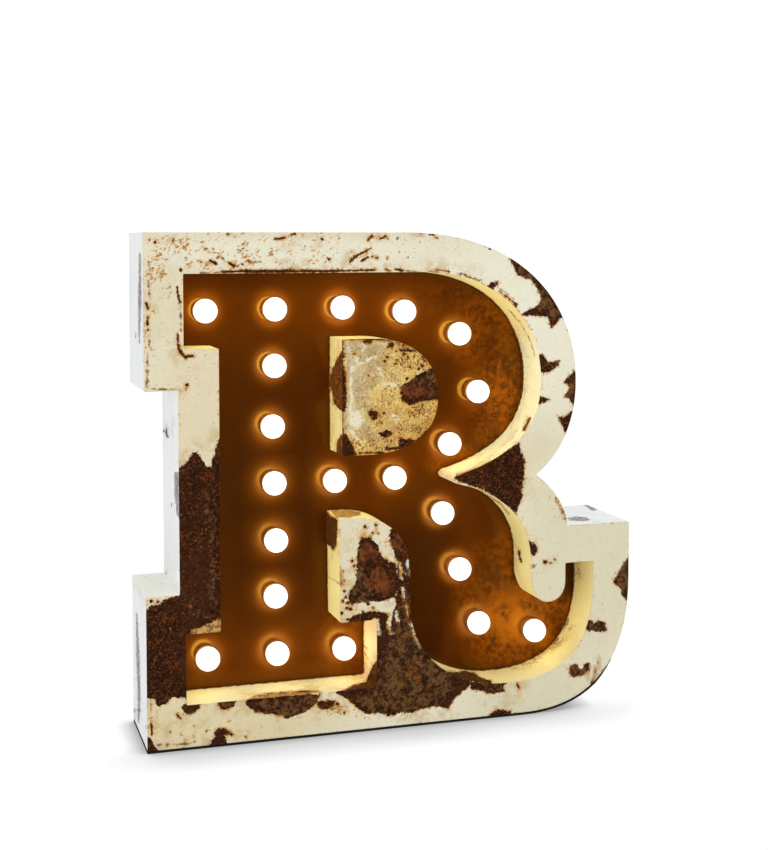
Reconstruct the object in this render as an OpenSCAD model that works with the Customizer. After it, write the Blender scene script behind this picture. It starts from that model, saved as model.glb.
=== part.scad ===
// Light-up capital letter of folded sheet steel: a deep slab-serif shell with a recessed
// lamp channel, opal globe lamps on a brown lamp plate, and a screwed back cover with the
// power inlet and a rocker switch.
// Frame: +Z up, the letter faces -Y, +X to the reader's right, origin under the middle of the base.
// Outlines are drawn in letter coordinates: x from the left serif edge, z from just above the base edge.

/* [Shell] */
// Depth of the letter, front face to rear edge
letter_depth = 72; // [70:1:84]
// Depth of the lamp channel, front face to lamp plate
recess = 36; // [35:1:38]
// Thickness of the folded steel sheet
sheet = 0.8; // [0.6:0.1:1.0]
// How far the back cover sits inside the rear edge
cover_recess = 6; // [5:0.5:7]
// Gap between a loose plate and the wall around it
plate_gap = 0.2; // [0.1:0.1:0.4]
// Thickness of the rubber strip under the base
strip_t = 1.8; // [0.8:0.1:2]

/* [Lamps] */
// Diameter of a lamp globe
globe_d = 17; // [16.5:0.5:18]
// Wall of a lamp globe
globe_wall = 0.8; // [0.6:0.1:1.0]
// Distance from lamp plate to globe centre
globe_h = 10; // [10:0.5:11]
// Diameter of a socket collar in front of the plate
collar_d = 16; // [14:0.5:16.5]
// Height of a socket collar in front of the plate
collar_h = 4.3; // [3.5:0.1:4.5]
// Diameter of a socket body behind the plate
socket_d = 11.8; // [11.4:0.1:12]
// Diameter of the bulb cap
cap_d = 9.4; // [9.2:0.1:9.5]

/* [Switch] */
// Half swing of the rocker about its middle position, in degrees
rocker_tilt = 12; // [8:1:12]
// Diameter of the rocker's pivot
pivot_d = 3; // [2.6:0.1:3.2]
// Radial running clearance of the pivot
pivot_gap = 0.05; // [0.03:0.01:0.09]

/* [Hanging] */
// Distance between the two keyholes
keyhole_pitch = 170; // [160:1:175]
// Radius of a keyhole's round entry
keyhole_r = 4.5; // [4:0.1:5]
// Width of a keyhole's slot
keyhole_slot = 4.6; // [4:0.1:5]

/* [Hidden] */
$fn = 48;

cream = [0.90, 0.87, 0.78];
rustbrown = [0.36, 0.18, 0.07];
steel = [0.72, 0.72, 0.70];
brass = [0.78, 0.62, 0.30];
black = [0.06, 0.06, 0.06];
opal = [1.0, 0.98, 0.93];

letter_w = 360;
foot_z = -2.2;                   // base edge of the letter in letter coordinates
lift = strip_t - foot_z;         // letter coordinates above the surface it stands on
yf = -letter_depth / 2;          // front of the face
yb = letter_depth / 2;           // rear edge of the return
yw = yf + sheet;                 // back of the face sheet
yp = yf + recess;                // front of the lamp plate
yq = yp + sheet;                 // back of the lamp plate
yc = yb - cover_recess;          // rear of the back cover
yi = yc - sheet;                 // inside of the back cover

// ---- outlines -------------------------------------------------------------------------

function bz(a, b, c, d, n, m = 0) = [for (i = [1 : (m ? m : n)]) let (t = i / n, s = 1 - t)
  s*s*s*a + 3*s*s*t*b + 3*s*t*t*c + t*t*t*d];
function unit(v) = v / norm(v);
function side(u) = [-u.y, u.x];
// Mitred parallel of a closed counter-clockwise outline, d to the inside
function inset(p, d) = let (n = len(p)) [for (i = [0 : n - 1])
  let (u = side(unit(p[i] - p[(i + n - 1) % n])), v = side(unit(p[(i + 1) % n] - p[i])))
  p[i] + d * (u + v) / (1 + u * v)];
// The same for an open path, d to its left
function shift_path(p, d) = let (n = len(p)) [for (i = [0 : n - 1])
  let (u = side(unit(p[max(i, 1)] - p[max(i, 1) - 1])), v = side(unit(p[min(i, n - 2) + 1] - p[min(i, n - 2)])))
  p[i] + d * (u + v) / (1 + u * v)];

// Base and lower right curve, also carried by the rubber strip
toe = [[276, foot_z], [327, foot_z], [360, 26], [360, 93]];
outer = concat([[0, foot_z], toe[0]], bz(toe[0], toe[1], toe[2], toe[3], 18),
  [[360, 134.5], [310, 134.5]],
  bz([310, 134.5], [308, 150], [300, 161], [285, 173.5], 8),
  bz([285, 173.5], [305, 188], [316, 213], [316, 240], 12),
  bz([316, 240], [316, 304], [268, 350], [186, 350], 24),
  [[0, 350], [0, 243], [23, 243], [23, 103.5], [0, 103.5]]);

// Lamp channel, counter-clockwise
channel = concat([[27, 27], [163, 27], [163, 75.5], [136, 75.5], [135.5, 149.5], [147, 149.5]],
  bz([147, 149.5], [172, 148.5], [188, 134], [188, 106], 10),
  [[188, 84]],
  bz([188, 84], [188, 52], [214, 21], [262, 21], 14),
  bz([262, 21], [311, 21], [331, 46], [331, 91], 14),
  [[331, 106.5], [308.5, 106.5], [308.5, 94]],
  bz([308.5, 94], [308.5, 84], [302.5, 78.5], [294.5, 78.5], 7),
  bz([294.5, 78.5], [286, 78.5], [281, 89], [281, 102], 7),
  [[281, 110]],
  bz([281, 110], [281, 143], [256, 162], [224, 169.5], 13),
  bz([224, 169.5], [219.5, 170.5], [219.5, 174.8], [224, 176], 5),
  bz([224, 176], [262, 186], [288.5, 205], [288.5, 242], 14),
  bz([288.5, 242], [288.5, 291], [252, 322], [194, 322], 18),
  [[27, 322], [27, 271], [51, 271], [51, 76], [27, 76]]);

// Closed counter of the bowl
counter = concat([[138, 193.5], [156, 193.5]],
  bz([156, 193.5], [190, 193.5], [209, 208], [209, 233.5], 12),
  bz([209, 233.5], [209, 259], [190, 275.5], [160, 275.5], 12),
  [[138, 275.5]]);

// ---- lamps: x, z ----------------------------------------------------------------------

lamps = [[46.5, 295.5], [96, 296], [145.5, 296.5], [192, 293], [234.5, 276], [249, 233],
  [227, 195], [95.5, 256], [94, 213], [95, 172.5], [96, 131.5], [95.5, 91.5], [139.5, 172],
  [184.5, 172], [221.5, 144], [235, 101.5], [250, 60], [295, 50.5], [46.5, 50.5],
  [96.5, 50], [146, 49.5]];
// Lamps that a stretch of wire joins
runs = [[17, 16], [16, 15], [15, 14], [14, 13], [13, 12], [12, 9], [9, 8], [8, 7], [7, 1],
  [1, 0], [1, 2], [2, 3], [3, 4], [4, 5], [5, 6], [9, 10], [10, 11], [11, 19], [19, 18], [19, 20]];
// Bearing of each socket's shell tag around its centre tag
function tag_a(i) = i == 6 ? 135 : 45;
function tag(i) = lamps[i] + 3.4 * [cos(tag_a(i)), sin(tag_a(i))];

// ---- fixings: x, z, turn about Y (0 = stands on a wall below it) ---------------------------

wall_fix = [[40, foot_z + sheet, 0], [150, foot_z + sheet, 0], [250, foot_z + sheet, 0], [40, 350 - sheet, 180],
  [120, 350 - sheet, 180], [175, 350 - sheet, 180], [23 + sheet, 130, 90], [23 + sheet, 215, 90],
  [360 - sheet, 114, -90]];
counter_fix = [[147, 193.5 + sheet, 0], [149, 275.5 - sheet, 180], [138 + sheet, 234, 90]];
plate_fix = concat(wall_fix, counter_fix);
fix_r = 7;                       // screw's distance from the wall

jack = [62, 22];
switch = [106, 25];
case_lo = [125, 91];
case_hi = [199, 133];
case_h = 20;
case_w = 1.6;
key_z = 308;
key_x = [60, 60 + keyhole_pitch];

// ---- helpers --------------------------------------------------------------------------

// Moves letter coordinates into the part's frame
module at(p) translate([p.x - letter_w / 2, 0, p.y + lift]) children();
// Extrudes an outline in letter coordinates from y0 to y1
module slab(y0, y1) translate([-letter_w / 2, y1, lift]) rotate([90, 0, 0])
  linear_extrude(y1 - y0) children();
// Round bar along Y
module bar(d, y0, y1) translate([0, y0, 0]) rotate([-90, 0, 0]) cylinder(d = d, h = y1 - y0);
// Round bar between two points
module rod(a, b, d) let (v = b - a, l = norm(v))
  translate(a) rotate([0, acos(v.z / l), atan2(v.y, v.x)]) cylinder(d = d, h = l, $fn = 24);
// Block from one corner to the other
module block(a, b) translate(a) cube(b - a);
// Letter coordinates with a depth, as a point of the part's frame
function pt(p, y) = [p.x - letter_w / 2, y, p.y + lift];
function turn(p, a, r) = p + r * [sin(a), cos(a)];

// Folded L bracket whose lug lies in front of a plate at y
module bracket(f, y) at(f) rotate([0, f.z, 0]) difference() {
  union() {
    block([-6, y - 12, 0], [6, y, 1]);
    block([-6, y - 1, 0], [6, y, 12]);
  }
  translate([0, 0, fix_r]) bar(3.1, y - 2, y + 1);
}
// Pan-head screw, head against a plate's rear face at y
module screw(f, y, l) at(turn([f.x, f.y], f.z, fix_r)) {
  difference() {
    bar(5.6, y, y + 1.7);
    translate([-0.4, y + 0.9, -2]) cube([0.8, 1, 4]);
    translate([-2, y + 0.9, -0.4]) cube([4, 1, 0.8]);
  }
  bar(2.9, y - l, y);
}

// ---- shell ----------------------------------------------------------------------------

module face_rim() color(cream) slab(yf, yw) difference() {
  polygon(outer);
  polygon(channel);
}

module outer_return() color(cream) slab(yw, yb) difference() {
  polygon(outer);
  polygon(inset(outer, sheet));
}

module channel_return() color(cream) slab(yw, yp) difference() {
  polygon(inset(channel, -sheet));
  polygon(channel);
}

module counter_face() color(cream) slab(yf, yw) polygon(counter);

module counter_return() color(cream) slab(yw, yp) difference() {
  polygon(counter);
  polygon(inset(counter, sheet));
}

module lamp_plate() color(rustbrown) difference() {
  slab(yp, yq) polygon(inset(outer, sheet + plate_gap));
  for (p = lamps) at(p) bar(socket_d + 0.2, yp - 1, yq + 1);
  for (f = plate_fix) at(turn([f.x, f.y], f.z, fix_r)) bar(3.2, yp - 1, yq + 1);
  for (x = case_screw_x) at([x, case_screw_z]) bar(3.2, yp - 1, yq + 1);
}

module plate_brackets() color(steel) for (f = plate_fix) bracket(f, yp);

module plate_screws() color(steel) for (f = plate_fix) screw(f, yq, 5);

// ---- lamps ----------------------------------------------------------------------------

y_bore = yp + 9.6;               // floor of a socket's bore
y_tail = yp + 14;                // rear of a socket
y_plus = yp + 16.4;              // plane of the supply wire
y_minus = yp + 19;               // plane of the return wire

module lamp_sockets() color(rustbrown) for (i = [0 : len(lamps) - 1]) at(lamps[i]) difference() {
  union() {
    bar(collar_d, yp - collar_h, yp);
    bar(socket_d, yp, y_tail);
  }
  bar(cap_d + 0.2, yp - collar_h - 1, y_bore);
  translate([0, yp - globe_h, 0]) sphere(d = globe_d + 0.3);
  bar(1.8, y_bore - 1, y_tail + 1);
  translate([3.4 * cos(tag_a(i)), 0, 3.4 * sin(tag_a(i))]) bar(1.4, y_bore - 1, y_tail + 1);
}

module socket_nuts() color(black) for (p = lamps) at(p) difference() {
  bar(17, yq, yq + 3);
  bar(socket_d + 0.1, yq - 1, yq + 4);
}

module bulb_globes() color(opal) for (p = lamps) at(p) difference() {
  union() {
    translate([0, yp - globe_h, 0]) sphere(d = globe_d);
    bar(8.2, yp - globe_h + 6, yp + 3.5);
  }
  translate([0, yp - globe_h, 0]) sphere(d = globe_d - 2 * globe_wall);
  bar(6.6, yp - globe_h, yp + 4);
}

module bulb_caps() color(brass) for (p = lamps) at(p) {
  difference() {
    bar(cap_d, yp - 2, yp + 8);
    bar(cap_d - 0.8, yp - 3, yp + 7.4);
  }
  bar(3, yp + 8, yp + 8.8);
}

module led_discs() color([0.95, 0.93, 0.80]) for (p = lamps) at(p) {
  bar(6.2, yp + 1, yp + 2);
  bar(3.2, yp - 0.4, yp + 1);
}

module socket_contacts() color(brass) for (i = [0 : len(lamps) - 1]) at(lamps[i]) {
  bar(3.6, yp + 8.8, yp + 9.4);
  bar(1.6, yp + 9.4, y_plus + 0.8);
  difference() {
    bar(cap_d, yp + 8, yp + 8.6);
    bar(5.4, yp + 7, yp + 9);
  }
  translate([3.4 * cos(tag_a(i)), 0, 3.4 * sin(tag_a(i))]) bar(1.2, yp + 8.6, y_minus + 0.8);
}

// Wire in one plane, soldered round each tag; feed is its end in the driver, via the last bend
module harness(nodes, y, tag_d, feed, via) difference() {
  union() {
    for (r = runs) rod(pt(nodes[r[0]], y), pt(nodes[r[1]], y), 1.2);
    for (p = nodes) at(p) bar(3, y - 0.8, y + 0.8);
    rod(pt(nodes[15], y), pt(via, y), 1.2);
    at(via) bar(1.8, y - 0.8, y + 0.8);
    rod(pt(via, y), pt(feed, y), 1.2);
  }
  for (p = nodes) at(p) bar(tag_d + 0.1, y - 3, y + 3);
}

module supply_wire() color([0.55, 0.08, 0.06])
  harness(lamps, y_plus, 1.6, [193, 108], [204, 108]);

module return_wire() color(black)
  harness([for (i = [0 : len(lamps) - 1]) tag(i)], y_minus, 1.2, [193, 114], [204, 114]);

// ---- driver ---------------------------------------------------------------------------

case_screw_x = [142, 182];
case_screw_z = 102;
cx = (case_lo.x + case_hi.x) / 2;
cz = (case_lo.y + case_hi.y) / 2;
lid_fix = [[case_lo.x + 4, case_lo.y + 4], [case_hi.x - 4, case_lo.y + 4],
  [case_lo.x + 4, case_hi.y - 4], [case_hi.x - 4, case_hi.y - 4]];
board_y = yq + 6;

module driver_case() color([0.12, 0.12, 0.13]) difference() {
  union() {
    difference() {
      block(pt(case_lo, yq), pt(case_hi, yq + case_h));
      block(pt(case_lo + [case_w, case_w], yq + case_w), pt(case_hi - [case_w, case_w], yq + case_h + 1));
    }
    for (p = lid_fix) at(p) bar(6, yq + 1, yq + case_h);
    for (p = [[cx - 24, cz], [cx + 24, cz]]) at(p) bar(6, yq + 1, board_y);
  }
  for (p = lid_fix) at(p) bar(2.6, yq + 8, yq + case_h + 1);
  for (x = case_screw_x) at([x, case_screw_z]) bar(2.6, yp, yq + case_w + 1);
  for (z = [108, 114]) for (x = [case_lo.x, case_hi.x]) at([x, z])
    translate([-4, z == 108 ? y_plus : y_minus, 0]) rotate([0, 90, 0]) cylinder(d = 2, h = 8);
}

module driver_board() color([0.05, 0.32, 0.14])
  block(pt([case_lo.x + 2.2, case_lo.y + 8], board_y), pt([case_hi.x - 2.2, case_hi.y - 8], board_y + 1.6));

// Terminal blocks, reservoir capacitor, choke and regulator on the board
module driver_parts() {
  y = board_y + 1.6;
  color([0.10, 0.35, 0.20]) for (x = [129, 186])
    block(pt([x, 105], y), pt([x + 7, 117], yq + case_h - 0.4));
  color([0.15, 0.17, 0.30]) at([148, 116]) bar(10, y, y + 10);
  color([0.45, 0.25, 0.12]) at([162, 112]) difference() {
    bar(12, y, y + 6);
    bar(5, y + 1, y + 7);
  }
  color(black) block(pt([172, 108], y), pt([181, 118], y + 4.5));
}

module driver_lid() color([0.14, 0.14, 0.15]) difference() {
  block(pt(case_lo, yq + case_h), pt(case_hi, yq + case_h + 1.6));
  for (p = lid_fix) at(p) bar(3.2, yq + case_h - 1, yq + case_h + 3);
}

module driver_lid_screws() color(steel) for (p = lid_fix) at(p) {
  bar(5, yq + case_h + 1.6, yq + case_h + 3);
  bar(2.5, yq + case_h - 7, yq + case_h + 1.6);
}

module driver_mount_screws() color(steel) for (x = case_screw_x) at([x, case_screw_z]) {
  bar(5.6, yp - 1.7, yp);
  bar(2.5, yp, yq + 4.5);
}

// ---- inlet ----------------------------------------------------------------------------

jack_floor = yc - 8;
jack_end = yi - 13;

module inlet_jack() color(black) at(jack) {
  difference() {
    union() {
      bar(11, yc, yc + 2);
      bar(7.8, jack_end, yc);
    }
    bar(6.4, jack_floor, yc + 3);
    bar(2, jack_end - 1, jack_floor + 1);
    translate([2.4, 0, 0]) bar(1, jack_end - 1, jack_floor + 1);
  }
}

module inlet_pin() color(brass) at(jack) {
  bar(1.95, jack_end - 9.5, yc + 0.5);
  translate([2.4, 0, 0]) bar(0.95, jack_end - 4, jack_floor + 0.6);
}

module inlet_nut() color(steel) at(jack) difference() {
  translate([0, yi - 2.4, 0]) rotate([-90, 0, 0]) cylinder(d = 12, h = 2.4, $fn = 6);
  bar(7.9, yi - 4, yi + 1);
}

// ---- rocker switch ---------------------------------------------------------------------

piv_y = yc - 1;                  // pivot of the rocker
body_y = yc - 17;                // underside of the switch body

module switch_housing() color(black) at(switch) difference() {
  union() {
    block([-6.5, body_y, -9.6], [6.5, yc, 9.6]);
    block([-7.6, yc, -10.8], [7.6, yc + 1.4, 10.8]);
  }
  block([-5.5, piv_y - 8, -8.7], [5.5, yc + 3, 8.7]);
  translate([-8, piv_y, 0]) rotate([0, 90, 0]) cylinder(d = pivot_d + 2 * pivot_gap, h = 16);
  for (z = [-5, 5]) block([-2.6, body_y - 1, z - 0.5], [2.6, piv_y - 7, z + 0.5]);
}

// Rocker with a shallow valley in its key face, drawn about its pivot and tilted to ON
module switch_rocker() color([0.09, 0.09, 0.10]) at(switch) translate([0, piv_y, 0]) rotate([-rocker_tilt, 0, 0]) {
  translate([-5.2, 0, 0]) rotate([90, 0, 90]) linear_extrude(10.4)
    polygon([[2.0, 0], [3.65, 7.8], [-1.2, 7.8], [-3.4, 5.0], [-3.4, 1.4], [-5.6, 1.0],
      [-5.6, -1.0], [-3.4, -1.4], [-3.4, -5.0], [-1.2, -7.8], [3.65, -7.8]]);
  translate([-6.3, 0, 0]) rotate([0, 90, 0]) cylinder(d = pivot_d, h = 12.6);
}

module switch_terminals() color(brass) at(switch) for (z = [-5, 5]) {
  block([-2.4, body_y - 7, z - 0.4], [2.4, piv_y - 8, z + 0.4]);
  block([-2.4, piv_y - 8, z - 1.4], [2.4, piv_y - 7.2, z + 1.4]);
}

// Leads from the inlet over the switch to the driver, inside the shell, pushed on to the switch blades
lead_y = body_y - 5;             // plane of the leads to the switch
pin_y = jack_end - 2.5;          // plane of the lead from the inlet's contact
loop_y = yp + 24;                // that lead passes behind the sockets
module bend(p, y0, y1) at(p) bar(1.8, y0 - 0.8, y1 + 0.8);
module solder(p, y, d) difference() {
  at(p) bar(d + 1.4, y - 1, y + 1);
  at(p) bar(d, y - 3, y + 3);
}
module blade_cover(z) at(switch) difference() {
  block([-3.2, body_y - 8, z - 1.4], [3.2, body_y - 0.5, z + 1.4]);
  block([-2.45, body_y - 7.2, z - 0.45], [2.45, body_y + 1, z + 0.45]);
}
module power_leads() color([0.10, 0.10, 0.11]) {
  solder(jack, lead_y, 2.05);
  rod(pt(jack + [1.3, 0], lead_y), pt([82, 20], lead_y), 1.2);
  bend([82, 20], lead_y, lead_y);
  rod(pt([82, 20], lead_y), pt(switch + [-3, -5], lead_y), 1.2);
  blade_cover(-5);
  blade_cover(5);
  rod(pt(switch + [3, 5], lead_y), pt([118, 30], lead_y), 1.2);
  bend([118, 30], lead_y, lead_y);
  rod(pt([118, 30], lead_y), pt([118, 108], lead_y), 1.2);
  bend([118, 108], lead_y, y_plus);
  rod(pt([118, 108], y_plus), pt([129, 108], y_plus), 1.2);
  solder(jack + [2.4, 0], pin_y, 1.05);
  rod(pt(jack + [3, 0.6], pin_y), pt([74, 34], pin_y), 1.2);
  bend([74, 34], pin_y, loop_y);
  rod(pt([74, 34], loop_y), pt([112, 114], loop_y), 1.2);
  bend([112, 114], y_minus, loop_y);
  rod(pt([112, 114], y_minus), pt([129, 114], y_minus), 1.2);
}

// ---- back and base ---------------------------------------------------------------------

module back_cover() color([0.80, 0.77, 0.70]) difference() {
  slab(yi, yc) polygon(inset(outer, sheet + plate_gap));
  for (f = wall_fix) at(turn([f.x, f.y], f.z, fix_r)) bar(3.2, yi - 1, yc + 1);
  at(jack) bar(8, yi - 1, yc + 1);
  at(switch) block([-6.6, yi - 1, -9.7], [6.6, yc + 1, 9.7]);
  for (x = key_x) at([x, key_z]) {
    bar(2 * keyhole_r, yi - 1, yc + 1);
    block([-keyhole_slot / 2, yi - 1, 0], [keyhole_slot / 2, yc + 1, 11]);
    translate([0, 0, 11]) bar(keyhole_slot, yi - 1, yc + 1);
  }
}

module cover_brackets() color(steel) for (f = wall_fix) bracket(f, yi);

module cover_screws() color(steel) for (f = wall_fix) screw(f, yc, 5);

// Rubber strip bonded under the base and round the lower right curve, where its end thins out
strip_path = concat([[0, foot_z], toe[0]], bz(toe[0], toe[1], toe[2], toe[3], 18, 11));
strip_out = shift_path(strip_path, -strip_t);
strip_n = len(strip_path);
module base_strip() color(black) slab(yf + 0.5, yb - 0.5) polygon(concat(
  [for (i = [0 : strip_n - 1]) strip_path[i] + min(1, 0.25 * (strip_n - i)) * (strip_out[i] - strip_path[i])],
  [for (i = [strip_n - 1 : -1 : 0]) strip_path[i]]));

face_rim();
outer_return();
channel_return();
counter_face();
counter_return();
lamp_plate();
plate_brackets();
plate_screws();
lamp_sockets();
socket_nuts();
bulb_globes();
bulb_caps();
led_discs();
socket_contacts();
supply_wire();
return_wire();
driver_case();
driver_board();
driver_parts();
driver_lid();
driver_lid_screws();
driver_mount_screws();
power_leads();
inlet_jack();
inlet_pin();
inlet_nut();
switch_housing();
switch_rocker();
switch_terminals();
back_cover();
cover_brackets();
cover_screws();
base_strip();
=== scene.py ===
import math
import bpy
import numpy as np
from mathutils import Matrix, Vector
from mathutils.geometry import delaunay_2d_cdt


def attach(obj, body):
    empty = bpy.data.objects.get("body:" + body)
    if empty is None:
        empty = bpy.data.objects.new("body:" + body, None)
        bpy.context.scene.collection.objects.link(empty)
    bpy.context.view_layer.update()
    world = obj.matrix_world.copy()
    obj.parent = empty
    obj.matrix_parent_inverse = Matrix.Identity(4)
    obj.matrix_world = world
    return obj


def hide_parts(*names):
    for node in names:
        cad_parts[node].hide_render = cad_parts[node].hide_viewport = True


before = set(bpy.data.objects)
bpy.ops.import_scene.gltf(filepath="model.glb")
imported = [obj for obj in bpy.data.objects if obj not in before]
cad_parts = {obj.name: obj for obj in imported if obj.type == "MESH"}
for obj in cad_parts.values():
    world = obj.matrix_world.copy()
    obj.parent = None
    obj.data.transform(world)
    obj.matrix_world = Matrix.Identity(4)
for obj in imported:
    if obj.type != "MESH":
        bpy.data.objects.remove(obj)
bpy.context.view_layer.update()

scene = bpy.context.scene

# ---- frame of the letter ------------------------------------------------------------------
# Outlines are in millimetres: x from the left edge, z from just above the base edge. In depth,
# y is the part's own Y in millimetres: the front is at -36 and the rear edge at +36.
HALF_W, FOOT = 180.0, 4.0
Y_FRONT, Y_REAR, Y_PLATE, SHEET = -36.0, 36.0, 0.0, 0.8


def metres(p):
    """Points (x, y, z) of the letter as points of the scene."""
    return (np.asarray(p, float) + (-HALF_W, 0.0, FOOT)) * 0.001


# ---- camera -------------------------------------------------------------------------------
FOCAL, PX, PY = 1449.6, 384.0, 320.0           # pixels of a 768 x 850 picture
YAW, PITCH, ROLL = (math.radians(a) for a in (17.235, 3.061, 0.077))
EYE = np.array((-132.9, -1007.2, 342.9))       # letter millimetres


def camera_axes():
    right = np.array((math.cos(YAW), -math.sin(YAW), 0.0))
    ahead = np.array((math.sin(YAW) * math.cos(PITCH), math.cos(YAW) * math.cos(PITCH), -math.sin(PITCH)))
    up = np.array((math.sin(YAW) * math.sin(PITCH), math.cos(YAW) * math.sin(PITCH), math.cos(PITCH)))
    c, s = math.cos(ROLL), math.sin(ROLL)
    return c * right - s * up, s * right + c * up, ahead


RIGHT, UP, AHEAD = camera_axes()


def to_pixels(p):
    """Where points of the letter lie in the picture."""
    q = np.asarray(p, float) - EYE
    far = q @ AHEAD
    return np.stack((PX + FOCAL * (q @ RIGHT) / far, PY - FOCAL * (q @ UP) / far), 1)


def on_plane(uv, y):
    """Points (x, z) of the letter, on the plane at depth y, that lie at given places of the picture."""
    uv = np.asarray(uv, float)
    way = RIGHT * ((uv[:, :1] - PX) / FOCAL) + UP * ((PY - uv[:, 1:]) / FOCAL) + AHEAD
    t = (y - EYE[1]) / way[:, 1]
    hit = EYE + way * t[:, None]
    return hit[:, (0, 2)]


cam_data = bpy.data.cameras.new("camera")
cam = bpy.data.objects.new("camera", cam_data)
scene.collection.objects.link(cam)
cam_data.sensor_width, cam_data.sensor_fit = 36.0, "AUTO"
cam_data.lens = FOCAL / 850 * 36
cam_data.shift_x, cam_data.shift_y = 0.0, (PY - 425) / 850
cam_data.clip_start, cam_data.clip_end = 0.02, 60
place = Matrix.Identity(4)
for i in range(3):
    place[i][0], place[i][1], place[i][2] = RIGHT[i], UP[i], -AHEAD[i]
place.translation = Vector(metres(EYE))
cam.matrix_world = place
scene.camera = cam

# ---- outlines -----------------------------------------------------------------------------
# A pair is a corner; three pairs are a cubic curve from the point before.
OUTER = [(0, -2.2), (276, -2.2), ((327, -2.2), (360, 26), (360, 93)), (360, 134.5), (310, 134.5),
         ((308, 150), (300, 161), (285, 173.5)), ((305, 188), (316, 213), (316, 240)),
         ((316, 304), (268, 350), (186, 350)), (0, 350), (0, 243), (23, 243), (23, 103.5), (0, 103.5)]
CHANNEL = [(27, 27), (163, 27), (163, 75.5), (136, 75.5), (135.5, 149.5), (147, 149.5),
           ((172, 148.5), (188, 134), (188, 106)), (188, 84), ((188, 52), (214, 21), (262, 21)),
           ((311, 21), (331, 46), (331, 91)), (331, 106.5), (308.5, 106.5), (308.5, 94),
           ((308.5, 84), (302.5, 78.5), (294.5, 78.5)), ((286, 78.5), (281, 89), (281, 102)), (281, 110),
           ((281, 143), (256, 162), (224, 169.5)), ((219.5, 170.5), (219.5, 174.8), (224, 176)),
           ((262, 186), (288.5, 205), (288.5, 242)), ((288.5, 291), (252, 322), (194, 322)),
           (27, 322), (27, 271), (51, 271), (51, 76), (27, 76)]
ISLAND = [(138, 193.5), (156, 193.5), ((190, 193.5), (209, 208), (209, 233.5)),
          ((209, 259), (190, 275.5), (160, 275.5)), (138, 275.5)]
LAMPS = [(46.5, 295.5), (96, 296), (145.5, 296.5), (192, 293), (234.5, 276), (249, 233), (227, 195),
         (95.5, 256), (94, 213), (95, 172.5), (96, 131.5), (95.5, 91.5), (139.5, 172), (184.5, 172),
         (221.5, 144), (235, 101.5), (250, 60), (295, 50.5), (46.5, 50.5), (96.5, 50), (146, 49.5)]


def flat_path(spec, steps=30):
    out = []
    for s in spec:
        if isinstance(s[0], tuple):
            a, (b, c, d) = np.array(out[-1]), (np.array(q, float) for q in s)
            for i in range(1, steps + 1):
                t = i / steps
                out.append((1 - t) ** 3 * a + 3 * (1 - t) ** 2 * t * b + 3 * (1 - t) * t * t * c + t ** 3 * d)
        else:
            out.append(np.array(s, float))
    return np.array(out)


def softened(path, radius):
    """Rounds the sharp corners of a closed path, as a folded or cut sheet edge is."""
    out, n = [], len(path)
    for i in range(n):
        a, b, c = path[i - 1], path[i], path[(i + 1) % n]
        u, v = a - b, c - b
        lu, lv = np.linalg.norm(u), np.linalg.norm(v)
        u, v = u / lu, v / lv
        bend = math.pi - math.acos(max(-1.0, min(1.0, float(u @ v))))
        if bend < math.radians(18):
            out.append(b)
            continue
        t = min(radius * math.tan(bend / 2), 0.45 * lu, 0.45 * lv)
        p, q = b + u * t, b + v * t
        for k in range(5):
            w = k / 4
            out.append((1 - w) ** 2 * p + 2 * (1 - w) * w * b + w * w * q)
    return np.array(out)


def dense(path, step):
    out, n = [], len(path)
    for i in range(n):
        a, b = path[i], path[(i + 1) % n]
        k = max(1, int(math.ceil(np.linalg.norm(b - a) / step)))
        out.extend(a + (b - a) * j / k for j in range(k))
    return np.array(out)


def signed_area(p):
    q = np.roll(p, -1, 0)
    return 0.5 * float((p[:, 0] * q[:, 1] - q[:, 0] * p[:, 1]).sum())


def outline(spec, step, radius=0.9):
    p = dense(softened(flat_path(spec), radius), step)
    return p if signed_area(p) > 0 else p[::-1].copy()


def moved(p, by):
    """A counter-clockwise path moved outwards by a distance."""
    d = np.roll(p, -1, 0) - p
    d /= np.linalg.norm(d, axis=1)[:, None]
    e = np.stack((d[:, 1], -d[:, 0]), 1)
    m = e + np.roll(e, 1, 0)
    m /= np.maximum(np.linalg.norm(m, axis=1), 1e-9)[:, None]
    m /= np.maximum((m * e).sum(1), 0.35)[:, None]
    return p + by * m


def inside(points, poly):
    """Which points lie in a closed polygon."""
    out = np.zeros(len(points), bool)
    x, z = points[:, 0], points[:, 1]
    for a, b in zip(poly, np.roll(poly, -1, 0)):
        if a[1] == b[1]:
            continue
        hit = (a[1] > z) != (b[1] > z)
        out ^= hit & (x < (b[0] - a[0]) * (z - a[1]) / (b[1] - a[1]) + a[0])
    return out


def far_from(points, poly, closed=True):
    """Distance from points to a path."""
    best = np.full(len(points), 1e9)
    ends = np.roll(poly, -1, 0) if closed else poly[1:]
    for a, b in zip(poly, ends):
        d = b - a
        t = np.clip(((points - a) @ d) / max(float(d @ d), 1e-12), 0, 1)
        best = np.minimum(best, np.hypot(*(points - a - t[:, None] * d).T))
    return best


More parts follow.
